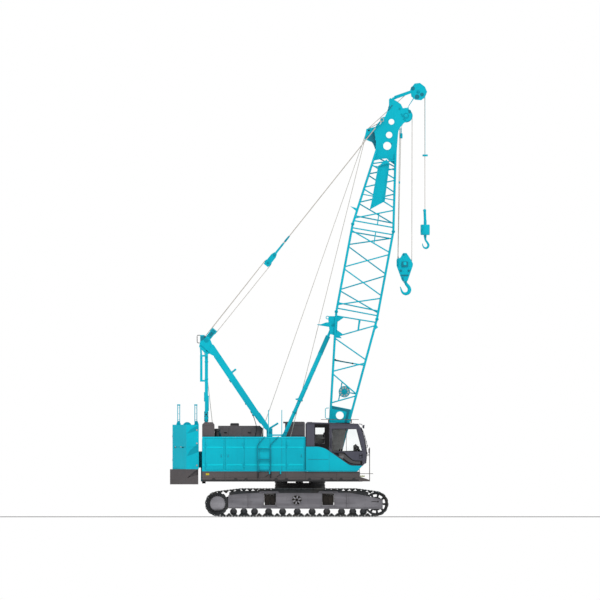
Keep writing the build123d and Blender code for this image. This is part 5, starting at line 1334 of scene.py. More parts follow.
# Counterweight
def make_counterweight(face=house_y, rear_x=-4.284, seam_z=2.336):
    scoop_shades = Piece("weight_scoop_shades", painted_shade_cyan)
    seam = Piece("weight_joints", seam_and_shade_cyan)
    bright = Piece("weight_fasteners", bare_steel)
    knobs = Piece("weight_post_knobs", cyan)
    reflectors = Piece("weight_reflectors", red_lens)
    # Leaf-shaped plates over the scoops in darker cyan: painted shade where the curved faces turn from the
    # light.
    for z, height in ((2.8, 0.27), (2.05, 0.4)):
        outline = [(-3.79, z), (-3.77, z - 0.01), (-3.64, z + 0.03), (-3.47, z + 0.1), (-3.41, z + 0.14)]
        outline += [(-3.42, z + height), (-3.56, z + height * 0.72), (-3.69, z + height * 0.45)]
        scoop_shades.slab(outline, face - 0.03, face + 0.002)
    seam.box((-3.76, -3.405), (face - 0.004, face + 0.002), (2.331, 2.339), 0.001)
    for z in (2.457, 1.715, 2.9):
        bright.box((-3.49, -3.44), (face - 0.002, face + 0.014), near(z, 0.03), 0.006)
        bright.bolt((-3.465, face + 0.014, z), Y, 0.012, 0.008)
    knob = [(0.0, 0.0), (0.03, 0.004), (0.034, 0.02), (0.03, 0.04), (0.0, 0.048)]
    for x in (-4.08, -3.5):
        knobs.turned(knob, (x + 0.005, 0.9, 3.722), Z, 16)
        for bar_z in (3.25, 3.45, 3.65):
            knobs.beam((x - 0.02, 0.9, bar_z), (x + 0.03, 0.9, bar_z), 0.012, 0.012, 0.003)
    # The bevelled rear corner's joint and its bolts
    start = Vector((rear_x, 0.98, seam_z))
    end = Vector((-3.817, face, seam_z))
    out = (end - start).cross(Z).normalized()
    out = -out if out.x > 0 else out
    for low, high in ((0.28, 0.56), (0.66, 0.97)):
        seam.beam(start.lerp(end, low), start.lerp(end, high), 0.006, 0.012, 0.001)
    for share in (0.22, 0.61):
        bright.turned([(0.022, -0.002), (0.022, 0.008), (0.014, 0.012)], start.lerp(end, share), out, 16)
    for z in (1.9, 2.7):
        bright.turned([(0.05, -0.002), (0.05, 0.003), (0.03, 0.003)], (rear_x, 0.6, z), -X, 24)
        bright.bolt((rear_x - 0.002, 0.6, z), -X, 0.02, 0.01)
    reflectors.box((-4.37, -4.362), (0.62, 0.86), (1.3, 1.38), 0.003)
    mirror_all(scoop_shades, seam, bright, knobs, reflectors)
    seam.box((rear_x - 0.003, rear_x + 0.002), (-0.97, 0.97), near(seam_z, 0.005), 0.001)


make_doors()
make_house_walls()
make_decks()
make_tank()
make_roof()
make_counterweight()

# Cab
cab_face = -1.64
swoop_points = [(0.2, 2.349), (0.572, 2.349), (0.66, 2.339), (0.75, 2.318), (0.84, 2.285), (0.93, 2.237)]
swoop_points += [(1.55, 1.807), (1.615, 1.767), (1.69, 1.738), (1.78, 1.72), (1.9, 1.709), (2.09, 1.706)]


def strip(shape, points, y, width, depth, cut=0.003, closed=False, up=Y):
    """A strip along a line in the side view."""
    points = [(x, y, z) for x, z in points]
    for start, end in zip(points, points[1:] + points[:1] if closed else points[1:]):
        shape.beam(start, end, width, depth, cut, up)


def make_cab_outside():
    """Window rims, wipers, roof trim, the swoop line, panel seams, the lamp and the rails in front."""
    black = Piece("cab_trim", rubber)
    window_rims = (
        [(0.49, 2.362), (0.511, 2.362), (0.511, 3.1), (0.49, 3.1)],
        [(0.511, 2.362), (0.612, 2.362), (0.68, 2.352), (0.826, 2.308), (0.826, 2.437), (0.511, 2.437)],
        [(0.826, 2.308), (0.95, 2.242), (0.982, 2.22), (0.982, 3.1), (0.826, 3.1)],
        [(0.511, 2.987), (0.826, 2.987), (0.826, 3.1), (0.511, 3.1)],
    )
    for outline in window_rims:
        black.slab(outline, cab_face - 0.004, cab_face + 0.002)
    for x, z in (((1.99, 2.008), (1.52, 1.6)), ((0.205, 0.213), (2.36, 3.14))):
        black.box(x, (cab_face - 0.004, cab_face + 0.002), z, 0.001)
    for y in (-1.585, -0.755):
        strip(black, [(2.045, 2.99), (2.156, 2.64), (2.238, 2.11), (2.212, 1.79)], y, 0.03, 0.012)
    for x, z in ((2.045, 2.99), (2.236, 2.1), (2.23, 2.05), (2.208, 1.775)):
        black.beam((x, -1.59, z), (x, -0.75, z), 0.012, 0.028, 0.003)
    for y in (-1.3, -1.05):
        pivot = Vector((2.252, y, 2.13))
        black.tube([pivot, (2.195, y - 0.14, 2.52)], 0.007, 8)
        black.beam((2.176, y - 0.16, 2.62), (2.228, y - 0.12, 2.32), 0.01, 0.02, 0.003, Y)
        black.disc(pivot, X, 0.022, 0.02, 16)
    for y, out in ((-1.64, -1), (-0.7, 1)):
        black.box((0.26, 1.95), (y - out * 0.004, y + out * 0.008), (3.108, 3.118), 0.002)
    black.box((0.25, 0.4), (-1.55, -0.8), (3.166, 3.178))
    black.box((1.2, 1.7), (-1.36, -0.98), (3.13, 3.152), 0.008)
    black.box((0.196, 0.204), (-1.5, -0.85), (2.5, 3.0), 0.003)
    black.bolts([(x, y, 3.13) for x in (0.9, 1.8) for y in (-1.5, -0.85)], Z, 0.014, 0.01)
    trim = Piece("cab_swoop_line", swoop_brown)
    strip(trim, [(x, z + 0.009) for x, z in swoop_points], -1.655, 0.03, 0.018, 0.004, up=Z)
    seams = Piece("cab_panel_seams", seam_and_shade_cyan)
    seams.box((0.977, 0.985), (-1.6655, -1.662), (1.52, 2.19), 0.001)
    seams.box((0.265, 0.949), (-1.6658, -1.662), (1.909, 1.926), 0.002)
    seams.box((0.2, 2.0), (-1.6655, -1.662), (1.538, 1.546), 0.001)
    lamp = Vector((2.125, -1.5, 3.02))
    lamp_way = (1, 0, -0.12)
    lights = Piece("cab_lamp_and_rails", cab_grey)
    bowl = [(0.0, -0.03), (0.03, -0.028), (0.062, 0.01), (0.064, 0.035), (0.058, 0.04)]
    lights.turned(bowl, lamp, lamp_way)
    lights.tube([(1.98, -1.5, 3.11), (2.06, -1.5, 3.1), (2.1, -1.5, 3.06)], 0.012)
    rail = [(2.065, 2.975), (2.115, 2.87), (2.175, 2.7), (2.225, 2.52), (2.262, 2.38), (2.262, 2.33)]
    rail = [Vector((x, -1.6, z)) for x, z in rail + [(2.235, 2.3)]]
    lights.tube(rail, 0.011)
    for place in rail[1:5]:
        lights.disc(place, (0.35, 0, -0.94), 0.018, 0.012, 12)
        lights.tube([place, place - Vector((0.07, 0, 0.02))], 0.007, 8)
    lights.box((2.3, 2.334), (-1.66, -1.5), (2.13, 2.285), 0.012)
    lights.tube([(2.339, -1.54, 2.2), (2.325, -1.56, 2.2)], 0.012, 8)
    lights.tube([(2.2, -1.6, 2.045), (2.339, -1.54, 2.045)], 0.008, 8)
    face = Piece("cab_lamp_lens", lens)
    face.turned([(0.0, 0.036), (0.03, 0.041), (0.056, 0.038), (0.056, 0.03)], lamp, lamp_way)
    face.box((2.332, 2.337), (-1.65, -1.51), (2.145, 2.27), 0.002)


def make_cab_door_details(body="cab_door_leaf"):
    """The lower window and its surround, the latch, the seal, the grab handle and a pale patch on the glass
    as a painted reflection.
    """
    upper = [(1.077, 2.155), (1.487, 2.155), (1.608, 2.04), (1.69, 1.965), (1.768, 1.908), (1.849, 1.88)]
    lower = [(1.2, 2.088), (1.4, 1.948), (1.6, 1.812), (1.69, 1.774), (1.78, 1.754), (1.9, 1.742)]
    upper += [(2.09, 1.876)]
    lower += [(2.09, 1.74)]
    surround = Piece("door_lower_surround", rubber, body)
    surround.slab(upper + lower[::-1], cab_face - 0.004, cab_face + 0.004)
    window = Piece("door_lower_window", dark_glass, body)
    pairs = [(Vector(above), Vector(below)) for above, below in zip(upper, lower)]
    pairs[0] = [first.lerp(second, 0.55) for first, second in zip(*pairs[:2])]
    pairs[-1] = [first.lerp(second, 0.72) for first, second in zip(*pairs[-2:])]
    pane = [above.lerp(below, 0.2) for above, below in pairs]
    pane += [above.lerp(below, 0.82) for above, below in pairs[::-1]]
    window.slab(pane, cab_face - 0.006, cab_face - 0.002)
    black = Piece("door_handle_and_seal", rubber, body)
    black.box((1.993, 2.094), (cab_face - 0.012, cab_face + 0.002), (1.972, 2.1), 0.01)
    black.box((2.005, 2.08), (cab_face - 0.03, cab_face - 0.014), (2.035, 2.06), 0.006)
    for x in (2.008, 2.077):
        black.box(near(x, 0.006), (cab_face - 0.028, cab_face - 0.008), (2.036, 2.059), 0.003)
    edge = [(1.07, 2.195), (1.07, 2.938), (1.897, 2.942), (2.082, 2.223), (2.079, 2.195)]
    strip(black, edge, cab_face - 0.001, 0.008, 0.016, closed=True, up=Z)
    black.tube([(1.04, -1.668, 2.3), (1.04, -1.69, 2.33), (1.04, -1.69, 2.6), (1.04, -1.668, 2.63)], 0.009)
    # A pale patch on the lower window's glass: a painted reflection.
    pale = Piece("door_lower_window_glint", window_glint_grey, body)
    outline = [(1.29, 2.03), (1.455, 2.055), (1.475, 2.0), (1.43, 1.935)]
    pale.slab(outline, cab_face - 0.008, cab_face - 0.005)


def make_cab_inside():
    """Linings, consoles, levers, pedals, buttons and the screen."""
    pale = Piece("cab_linings", lining)
    wall = [(0.28, 1.6), (1.4, 1.6), (1.415, 2.13), (1.54, 2.9), (1.6, 2.99), (1.6, 3.04), (0.9, 3.06)]
    pale.slab(wall + [(0.9, 2.755), (0.28, 2.755)], -0.765, -0.747)
    pale.slab([(0.248, 1.58), (0.27, 1.58), (0.27, 2.74), (0.248, 2.74)], -1.58, -0.77)
    pale.box((0.3, 0.66), (-1.55, -0.8), (1.557, 2.0), 0.03)
    pale.box((0.75, 1.45), (-0.9, -0.79), (1.557, 2.08), 0.03)
    pale.box((0.75, 1.45), (-1.57, -1.45), (1.557, 2.02), 0.03)
    pale.box((1.55, 1.566), (-0.775, -0.75), (2.12, 3.0))
    pale.slab([(1.9, 1.6), (2.15, 1.75), (2.18, 2.08), (2.04, 2.1), (1.98, 1.95)], -0.93, -0.78)
    black = Piece("cab_controls", plastic)
    black.box((0.45, 2.0), (-1.56, -0.78), (1.5572, 1.566), 0.003)
    grip = [(0.0, 0), (0.02, 0.01), (0.026, 0.04), (0.02, 0.07), (0.0, 0.08)]
    for y in (-1.5, -0.84):
        for x in (1.3, 1.38):
            black.tube([(x, y, 2.04), (x + 0.03, y, 2.2)], 0.008, 8)
            black.turned(grip, (x + 0.03, y, 2.2), (0.1, 0, 1), 14)
        black.box((0.9, 1.25), near(y, 0.035), (2.08, 2.12), 0.012)
    black.box((1.96, 1.99), (-1.34, -1.08), (2.2, 2.36), 0.01)
    black.tube([(1.9, -1.2, 2.38), (1.86, -1.2, 2.43)], 0.02, 12)
    for y in (-1.28, -1.06):
        black.beam((1.75, y, 1.57), (1.86, y, 1.68), 0.07, 0.012, 0.003)
        black.tube([(1.78, y, 1.6), (1.7, y, 1.8)], 0.007, 8)
    for row in range(3):
        for column in range(4):
            black.disc((1.84 + row * 0.05, -1.34 + column * 0.09, 2.41), Z, 0.013, 0.004, 12, 0.001)
    screen = Piece("cab_screen", dark_glass)
    screen.box((1.954, 1.962), (-1.32, -1.1), (2.22, 2.34), 0.002)


def inflate(thing):
    """Blows a closed cover up by cloth pressure."""
    cloth = thing.modifiers.new("cover", "CLOTH")
    cloth.settings.use_pressure = True
    cloth.settings.uniform_pressure_force = 4.0
    cloth.settings.effector_weights.gravity = 0.0
    cloth.settings.quality = 5
    for frame_number in range(1, 15):
        scene.frame_set(frame_number)
    apply_modifiers(thing)
    scene.frame_set(1)


def apply_modifiers(thing):
    """The thing keeps the mesh that its modifiers make."""
    graph = bpy.context.evaluated_depsgraph_get()
    settled = bpy.data.meshes.new_from_object(thing.evaluated_get(graph))
    thing.modifiers.clear()
    thing.data = settled


def cushion(name, low, high, turn, origin, channels, most=0.012, groove=0.022, groove_depth=0.011):
    """A pad: a rounded block blown up by cloth pressure, then sewn with channels."""
    block = Piece(name, fabric)
    block.box(*zip(low, high), cut=0.03)
    pieces.remove(block)
    thing = new_thing(name, block.points, block.faces, fabric)
    remesh = thing.modifiers.new("even", "REMESH")
    remesh.mode = "VOXEL"
    remesh.voxel_size = 0.006
    apply_modifiers(thing)
    before = [vertex.co.copy() for vertex in thing.data.vertices]
    inflate(thing)
    mesh = thing.data
    for vertex, start in zip(mesh.vertices, before):
        moved = vertex.co - start
        if moved.length > most:
            vertex.co = start + moved.normalized() * most
    for vertex in mesh.vertices:
        for axis, place in channels:
            gap = abs(vertex.co[axis] - place)
            if gap < groove and vertex.co.z > (low[2] + high[2]) / 2:
                vertex.co.z -= groove_depth * (1 - gap / groove) ** 2
    mesh.transform(Matrix.Translation(origin) @ Matrix.Rotation(math.radians(turn), 4, "Y"))
    mesh.materials.clear()
    mesh.materials.append(fabric)
    mesh.polygons.foreach_set("use_smooth", [True] * len(mesh.polygons))
    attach(thing, "upper")


def make_seat():
    """The seat's folded stand and its three pads."""
    stand = Piece("seat_stand", plastic)
    stand.box((0.9, 1.2), (-1.32, -1.02), (1.566, 1.6), 0.006)
    rings = []
    for fold in range(9):
        half = 0.14 - (0.012 if fold % 2 else 0.0)
        corners = ((-half, -half), (half, -half), (half, half), (-half, half))
        rings.append([Vector((1.05 + x, -1.17 + y, 1.6 + fold * 0.025)) for x, y in corners])
    stand.rings(rings)
    stand.box((0.86, 1.24), (-1.36, -0.98), (1.8, 1.84), 0.008)
    stand.box((0.78, 1.34), (-1.41, -0.93), (1.84, 1.87), 0.01)
    for y in (-1.4, -0.94):
        stand.beam((0.84, y, 1.86), (0.77, y, 2.6), 0.014, 0.05, 0.004, Y)
    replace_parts(stand.made(), "cab_seat")
    sewn = [(1, -0.12), (1, 0.12)]
    base = (1.08, -1.17, 1.87)
    cushion("seat_cushion", (-0.28, -0.235, 0), (0.28, 0.235, 0.12), -3, base, sewn + [(0, 0.1)])
    cushion("seat_back", (0.0, -0.235, 0), (0.6, 0.235, 0.11), -84, (0.9, -1.17, 2.0), sewn + [(0, 0.3)])
    cushion("seat_headrest", (0.0, -0.14, 0), (0.19, 0.14, 0.08), -84, (0.85, -1.17, 2.64), ())


make_cab_outside()
make_cab_door_details()
make_cab_inside()
make_seat()

# Gantry, winches, boom, spreaders, backstops and hooks
gantry_foot = Vector((-1.03, 0, 2.87))
leg_way = Vector((-0.56803, 0, 0.82301))
leg_rise = Vector((0.82301, 0, 0.56803))
backstop_foot = Vector((-0.538, 0, 2.705))
backstop_way = Vector((0.40388, 0, 0.91481))
backstop_rise = Vector((-0.91481, 0, 0.40388))
backstop_y = 0.5
chord_y = 0.58
head_face = 0.335
web_face = 0.592


def leg_point(along, rise, y=0.0):
    """A point given along the gantry's front leg and towards its upper edge."""
    return gantry_foot + leg_way * along + leg_rise * rise + Y * y


def make_gantry(face=0.68, inner=0.6):
    """Link plates, gussets, sleeves and pins of the gantry, and a conduit under each leg."""
    paint = Piece("gantry_plates", cyan)
    deep = Piece("gantry_covers", seam_and_shade_cyan)
    shade = Piece("gantry_edge_shade", painted_shade_cyan)
    black = Piece("gantry_conduits", dark, slot="black_plastic")
    # Pins in darker cyan: painted shade.
    pins = Piece("gantry_pins", painted_shade_cyan)
    for y in (inner, face):
        paint.box((-3.19, -3.095), near(y, 0.008), (5.3, 5.6), 0.01)
        for start, end, half in ((0.12, 0.7, 0.088), (3.0, 3.35, 0.1)):
            outline = ((start, half), (end, half), (end, -half), (start, -half))
            paint.slab([leg_point(*corner) for corner in outline], y - 0.007, y + 0.007)
    for z in (5.36, 5.54):
        pins.pin_head((-3.142, 0.688, z), 1, 0.026, 0.016)
    pins.pin_head(beside(gantry_pin, face), 1, 0.075, 0.018)
    pins.pin_head(beside(gantry_foot, 0.71), 1, 0.058, 0.018)
    paint.beam((-3.318, 0.64, 5.4), (-3.336, 0.64, 5.68), 0.07, 0.062, 0.008)
    paint.slab([(-2.998, 5.79), (-2.773, 5.5), (-2.869, 5.374), (-3.046, 5.47)], face - 0.01, face + 0.01)
    for x, z in ((-2.98, 5.71), (-2.85, 5.52), (-2.88, 5.43), (-3.02, 5.51)):
        paint.bolt((x, face + 0.01, z), Y)
    deep.slab([(-3.335, 6.065), (-3.14, 6.05), (-3.26, 5.93), (-3.335, 5.905)], face - 0.02, face + 0.01)
    paint.slab([(-3.0, 5.83), (-2.905, 5.76), (-2.93, 5.65), (-3.02, 5.7)], 0.596, 0.684)
    black.pin_head((-3.195, face + 0.01, 6.04), 1, 0.022, 0.02)
    # A darker strip along the head's lower edge: painted shade.
    shade.beam((-3.34, face, 5.765), (-3.05, face, 5.5), 0.016, 0.03, 0.003)
    hoop = [(-3.37, 5.83), (-3.435, 5.835), (-3.455, 5.86), (-3.457, 6.06), (-3.44, 6.09), (-3.33, 6.09)]
    black.tube([(x, 0.65, z) for x, z in hoop], 0.012, 8)
    tray = [(0.3, -0.06), (3.15, -0.09), (3.1, -0.12), (2.2, -0.13), (1.25, -0.142), (0.85, -0.138)]
    tray += [(0.4, -0.118)]
    paint.slab([leg_point(*place) for place in tray], 0.604, 0.676)
    for along, rise, length in ((2.13, -0.138, 0.1), (1.2, -0.148, 0.05), (0.86, -0.148, 0.09)):
        start = leg_point(along - length / 2, rise, 0.64)
        black.beam(start, start + leg_way * length, 0.05, 0.022, 0.006)
    paint.bolts([leg_point(along, -0.105, 0.676) for along in (0.6, 1.0, 1.5, 1.9, 2.5, 2.9)], Y, 0.01)
    for x, z in (((-3.226, -3.19), (3.863, 4.184)), ((-3.1, -3.062), (3.541, 4.056))):
        paint.box(x, (0.612, 0.668), z, 0.012)
    paint.box((-3.222, -3.078), (face - 0.01, face + 0.016), (3.19, 3.54), 0.012)
    places = [(x, face + 0.016, z) for z in (3.24, 3.365, 3.49) for x in (-3.196, -3.104)]
    black.bolts(places, Y, 0.014)
    black.pin_head((-3.15, face + 0.016, 3.43), 1, 0.03, 0.012)
    for z in (2.8, 4.62, 5.2):
        paint.box((-3.208, -3.08), (0.59, 0.69), near(z, 0.022), 0.008)
    sleeve = both_ways([(0.02, -0.02), (0.037, -0.014)])
    for x, z in ((-2.174, 4.932), (-2.335, 4.807), (-0.759, 3.121), (-1.025, 2.96)):
        paint.turned(sleeve, (x, 0.664, z), Y, 20)
    paint.collar((-3.102, 0.57, 5.55), Y, 0.095, 0.04, 0.012, 28)
    paint.collar((-3.144, 0.57, 3.0), Y, 0.065, 0.04, 0.012, 28)
    mirror_all(paint, deep, shade, black, pins)
    for y, side in ((0.055, -1), (0.165, 1)):
        paint.beam((-1.283, y, 3.237), beside(guide_roller, y), 0.012, 0.06, 0.003)
        paint.pin_head(beside(guide_roller, y), side, 0.03, 0.014)
    roller = [(0.02, -0.044), (0.05, -0.044), (0.05, -0.03), (guide_roller_radius, -0.022)]
    black.turned(both_ways(roller), beside(guide_roller, 0.11), Y)
    lead = [(0.06, -0.024), (0.116, -0.024), (0.116, -0.016), (0.1, -0.011)]
    deep.turned(both_ways(lead), beside(gantry_pin, 0.262), Y, 36)


def make_winches(flange_y=0.39):
    """Ribs and bolts on the drums' flanges, and on the frame their motors, bearings and hoses."""
    motors = Piece("winch_motors", dark)
    hoses = Piece("winch_hoses", rubber)
    motor = [(0.075, 0), (0.2, 0), (0.2, 0.026), (0.165, 0.03), (0.165, 0.13), (0.15, 0.145), (0.01, 0.145)]
    motor += [(0.01, 0.12), (0.075, 0.12)]
    bearing = [(0.075, 0), (0.15, 0), (0.15, 0.03), (0.12, 0.05), (0.01, 0.05), (0.01, 0.04), (0.075, 0.032)]
    for body, drum in drums.items():
        ribs = Piece(f"flange_ribs_{body}", grey, body)
        bolts = Piece(f"flange_bolts_{body}", bare_steel, body)
        face = drum + Y * (flange_y + 0.004)
        ribs.collar(face, Y, 0.37, 0.345, 0.005, 56)
        ribs.collar(face, Y, 0.16, 0.055, 0.006, 36)
        middle = drum + Y * (flange_y + 0.003)
        for turn in around(8):
            out = round_way(turn)
            ribs.beam(middle + out * 0.15, middle + out * 0.35, 0.008, 0.03, 0.002, out.cross(Y))
        bolts.bolt_ring(drum + Y * (flange_y + 0.008), 1, 0.118, 12, 0.01)
        mirror_all(ribs, bolts)
        motors.turned(motor, drum + Y * 0.44, Y, 40, closed=True)
        motors.turned(bearing, drum - Y * 0.44, -Y, 36, closed=True)
        motors.turned([(0.09, 0), (0.095, 0.01), (0.095, 0.08), (0.07, 0.09)], drum + Y * 0.583, Y, 28)
        motors.bolt_ring(drum + Y * 0.466, 1, 0.183, 12, 0.012)
        motors.bolt_ring(drum + Y * 0.585, 1, 0.128, 10, 0.01)
        motors.bolt_ring(drum - Y * 0.47, -1, 0.132, 8, 0.011)
        for step, shift in enumerate((-0.045, 0.045)):
            start = drum + Vector((shift, 0.63, 0.06))
            end = Vector((start.x - 0.12, 0.716, 2.33 + step * 0.03))
            path = []
            for share in [part / 8 for part in range(9)]:
                path.append(start.lerp(end, share) - X * math.sin(share * math.pi) * 0.09)
            hoses.tube(path, 0.013, 8)
            hoses.turned([(0.018, 0), (0.018, 0.03)], start - Z * 0.012, Z, 10)


def make_boom_foot():
    """Bands of painted shade on the foot's webs, the bent rail behind and a ring on the web in painted
    light, foot pins and the cable reel, its flange in painted shade.
    """
    deep = Piece("boom_foot_web_shades", seam_and_shade_cyan, "boom")
    paint = Piece("boom_foot_rails_painted_light", painted_light_cyan, "boom")
    pins = Piece("boom_foot_pins", painted_shade_cyan)
    bands = (
        [(2.118, -0.37), (2.108, 0.245), (2.02, 0.237), (2.034, -0.36)],
        [(2.02, 0.237), (2.02, 0.15), (1.0, 0.1), (1.0, 0.16)],
    )
    for outline in bands:
        deep.slab([boom_point(*corner) for corner in outline], web_face - 0.004, web_face + 0.005)
    paint.collar(boom_point(1.855, -0.063, web_face), Y, 0.15, 0.13, 0.009, 40)
    rail = [(0.975, 3.645), (0.885, 3.645), (0.852, 3.61), (0.852, 3.33), (0.88, 3.295), (0.975, 3.295)]
    paint.tube([(x, chord_y, z) for x, z in rail], 0.013, 8)
    pin = beside(foot_pin, 0.68)
    pins.pin_head(pin, 1, 0.075, 0.02)
    pins.bolt(pin + Vector((0.1, 0, 0.02)), Y, 0.014)
    mirror_all(deep, paint, pins)
    flange = Piece("reel_flange", painted_shade_cyan, "boom")
    cable = Piece("reel_cable", lining, "boom")
    core = Piece("reel_core", seam_and_shade_cyan, "boom", slot="black_plastic")
    reel = boom_point(2.665, -0.06, -0.571)
    flange.collar(reel - Y * 0.005, Y, 0.192, 0.168, 0.008, 48)
    cable.collar(reel - Y * 0.002, Y, 0.169, 0.098, 0.004, 40)
    core.collar(reel - Y * 0.002, Y, 0.1, 0.03, 0.006, 36)
    flange.pin_head(reel, -1, 0.05, 0.016)
    hub = reel - Y * 0.008
    for turn in around(9, math.tau / 30):
        out = round_way(turn)
        flange.beam(hub + out * 0.04, hub + out * 0.172, 0.007, 0.036, 0.002, out.cross(Y))


# Where the boom's sections join, and how far its front and rear chords lie from its axis there
joints = (5.26, 8.257)
joint_front = 0.568
joint_rear = -0.82


def make_boom():
    """Joint pins, gussets, striker plates and the tube under the lacing."""
    paint = Piece("boom_gussets", cyan, "boom")
    # Pins in darker cyan: painted shade.
    pins = Piece("boom_joint_pins", painted_shade_cyan, "boom")
    for joint in joints:
        for forward in (joint_front, joint_rear):
            for edge in ends:
                head = boom_point(joint, forward, chord_y + edge * 0.058)
                pins.pin_head(head, edge, 0.032, 0.016)
                keeper = head + Y * edge * 0.01
                pins.tube([keeper - X * 0.036, keeper + X * 0.036], 0.004, 6)
    striker = [(0.678, 6.453), (0.872, 6.521), (0.981, 6.53), (0.993, 6.392), (0.872, 6.409), (0.678, 6.424)]
    outlines = (
        ([(1.248, 6.708), (1.491, 6.696), (1.285, 6.55), (1.248, 6.538)], 0.57, 0.59),
        ([(1.241, 6.271), (1.43, 6.137), (1.406, 6.101), (1.212, 6.04)], 0.57, 0.59),
        (striker, 0.536, 0.563),
        ([(2.53, 6.501), (2.625, 6.355), (2.487, 6.246), (2.46, 6.3)], 0.565, 0.595),
    )
    for outline, y_from, y_to in outlines:
        paint.slab(outline, y_from, y_to)
    places = [(x, 0.59, z) for x, z in ((1.29, 6.67), (1.4, 6.67), (1.28, 6.23), (1.35, 6.15))]
    paint.bolts(places, Y, 0.011)
    lug_bolts = ((4.56, -0.72), (4.56, -0.82), (4.9, -0.8), (4.9, -0.92))
    paint.bolts([boom_point(*place, 0.561) for place in lug_bolts], Y, 0.015)
    pins.pin_head(boom_point(4.798, -0.847, 0.561), 1, 0.045, 0.02)
    mirror_all(paint, pins)
    paint.tube([(2.003, -chord_y, 6.63), (1.957, -chord_y, 6.262)], 0.03, 12)
    cable = Piece("boom_cable", rubber, "boom")
    cable.tube([(1.188, -0.612, 5.268), (1.48, -0.614, 5.2), (1.77, -0.612, 5.141)], 0.011, 8)
    for x, z in ((1.188, 5.268), (1.77, 5.141)):
        cable.box(near(x, 0.02), (-0.624, -0.585), near(z, 0.026), 0.006)


def make_boom_head(face=head_face):
    """Rope rollers, guards, pin plates and the jib's knee on the boom's head; darker plates, stripes and
    sheave discs as painted shade.
    """
    paint = Piece("head_plates", cyan, "boom")
    deep = Piece("head_guards_and_shades", seam_and_shade_cyan, "boom")
    black = Piece("head_rollers", dark, "boom", slot="black_plastic")
    pins = Piece("head_pins", painted_shade_cyan, "boom")
    guard = [(2.198, 12.722), (2.376, 12.9), (2.496, 12.914), (2.6, 12.722), (2.582, 12.362)]
    guard += [(2.52, 12.338), (2.495, 12.43), (2.455, 12.52), (2.39, 12.605), (2.3, 12.67)]
    skirt = [(2.534, 12.16), (3.2, 12.08), (3.182, 11.81), (3.038, 11.916), (2.904, 12.031), (2.736, 12.012)]
    skirt += [(2.472, 11.954)]
    knee = [(3.0, 13.73), (3.05, 14.04), (3.155, 14.066), (3.168, 13.95), (3.1, 13.71)]
    arm = [(3.115, 13.985), (3.09, 14.065), (3.69, 14.305), (3.725, 14.215)]
    # The horn's curved plate in darker cyan: painted shade.
    deep.slab(guard, 0.198, 0.23)
    paint.slab(skirt, 0.312, 0.333)
    paint.slab(knee, 0.3, 0.342)
    paint.slab(arm, 0.069, 0.078)
    black.pin_head(beside(horn, 0.225), 1, 0.03, 0.014)
    pins.pin_head((2.3507, 0.228, 12.8168), 1, 0.05, 0.014)
    paint.bolts([(x, 0.342, z) for x, z in ((3.05, 13.8), (3.08, 13.95), (3.12, 14.02))], Y)
    pins.collar(beside(point_pin, face), Y, 0.1, 0.06, 0.006, 36)
    paint.pin_head(beside(point_pin, face), 1, 0.06, 0.02)
    deep.slab([(3.63, 13.67), (3.72, 13.63), (3.73, 13.56), (3.66, 13.55)], face - 0.006, face + 0.008)
    for start, end in (((3.4, 13.53), (3.47, 13.42)), ((3.46, 13.37), (3.56, 13.3))):
        pins.beam(beside(start, face), beside(end, face), 0.014, 0.05, 0.003)
    deep.pin_head((3.072, face, 12.53), 1, 0.02, 0.008)
    deep.beam((3.11, face, 13.83), (2.95, face, 13.63), 0.016, 0.05)
    deep.beam((3.02, face, 13.81), (2.975, face, 13.74), 0.012, 0.04)
    for along, forward, radius in ((11.048, -0.164, 0.134), (11.42, -0.168, 0.107), (11.87, -0.174, 0.096)):
        paint.collar(boom_point(along, forward, 0.3225), Y, radius + 0.022, radius + 0.001, 0.018, 36)
    pins.pin_head(boom_point(11.881, -0.497, 0.45), 1, 0.045, 0.018)
    # Sheave discs in darker cyan: painted shade.
    for x, z, radius in ((3.79, 14.385, 0.068), (3.935, 14.105, 0.078), (4.1, 14.18, 0.062)):
        deep.collar((x, 0.07, z), Y, radius, radius - 0.014, 0.006, 28)
        deep.disc((x, 0.07, z), Y, radius - 0.01, 0.0025, 28, 0.001)
    pins.pin_head(beside(aux_pin, 0.07), 1, 0.055, 0.02)
    spacers = ((3.78, 14.14), (3.87, 14.5), (4.16, 14.44), (4.22, 14.18))
    paint.bolts([(x, 0.07, z) for x, z in spacers], Y, 0.013)
    pins.pin_head((3.35, face, 13.7), 1, 0.03, 0.014)
    for x, z in spacers:
        paint.tube([(x, -0.07, z), (x, 0.07, z)], 0.012)
    mirror_all(paint, deep, black, pins)
    paint.tube([(3.35, -face, 13.7), (3.35, face, 13.7)], 0.02, 12)
    black.turned(both_ways([(0.03, -0.19), (horn_roller, -0.186)]), horn, Y)


def make_sign_plate(face=-0.5777):
    """The frame round the blank sign plate, its screws and its stiffeners."""
    outline = [(10.339, -0.338), (9.168, -0.331), (8.841, -0.342), (9.203, 0.096), (10.498, 0.021)]
    rim = Piece("sign_plate_frame", cyan, "boom")
    for start, end in zip(outline, outline[1:] + outline[:1]):
        rim.beam(boom_point(*start, face), boom_point(*end, face), 0.008, 0.026, 0.002, Y)
    rim.slab([(2.66, 11.8), (2.904, 12.002), (3.008, 11.878)], face, face + 0.008)
    # Screws in darker cyan: painted shade.
    screws = Piece("sign_plate_screws", painted_shade_cyan, "boom")
    places = ((9.0, -0.28), (9.6, -0.28), (10.2, -0.28), (9.3, 0.04), (9.9, 0.0), (10.4, -0.03))
    screws.bolts([boom_point(*place, face) for place in places], -Y, 0.012, 0.007)


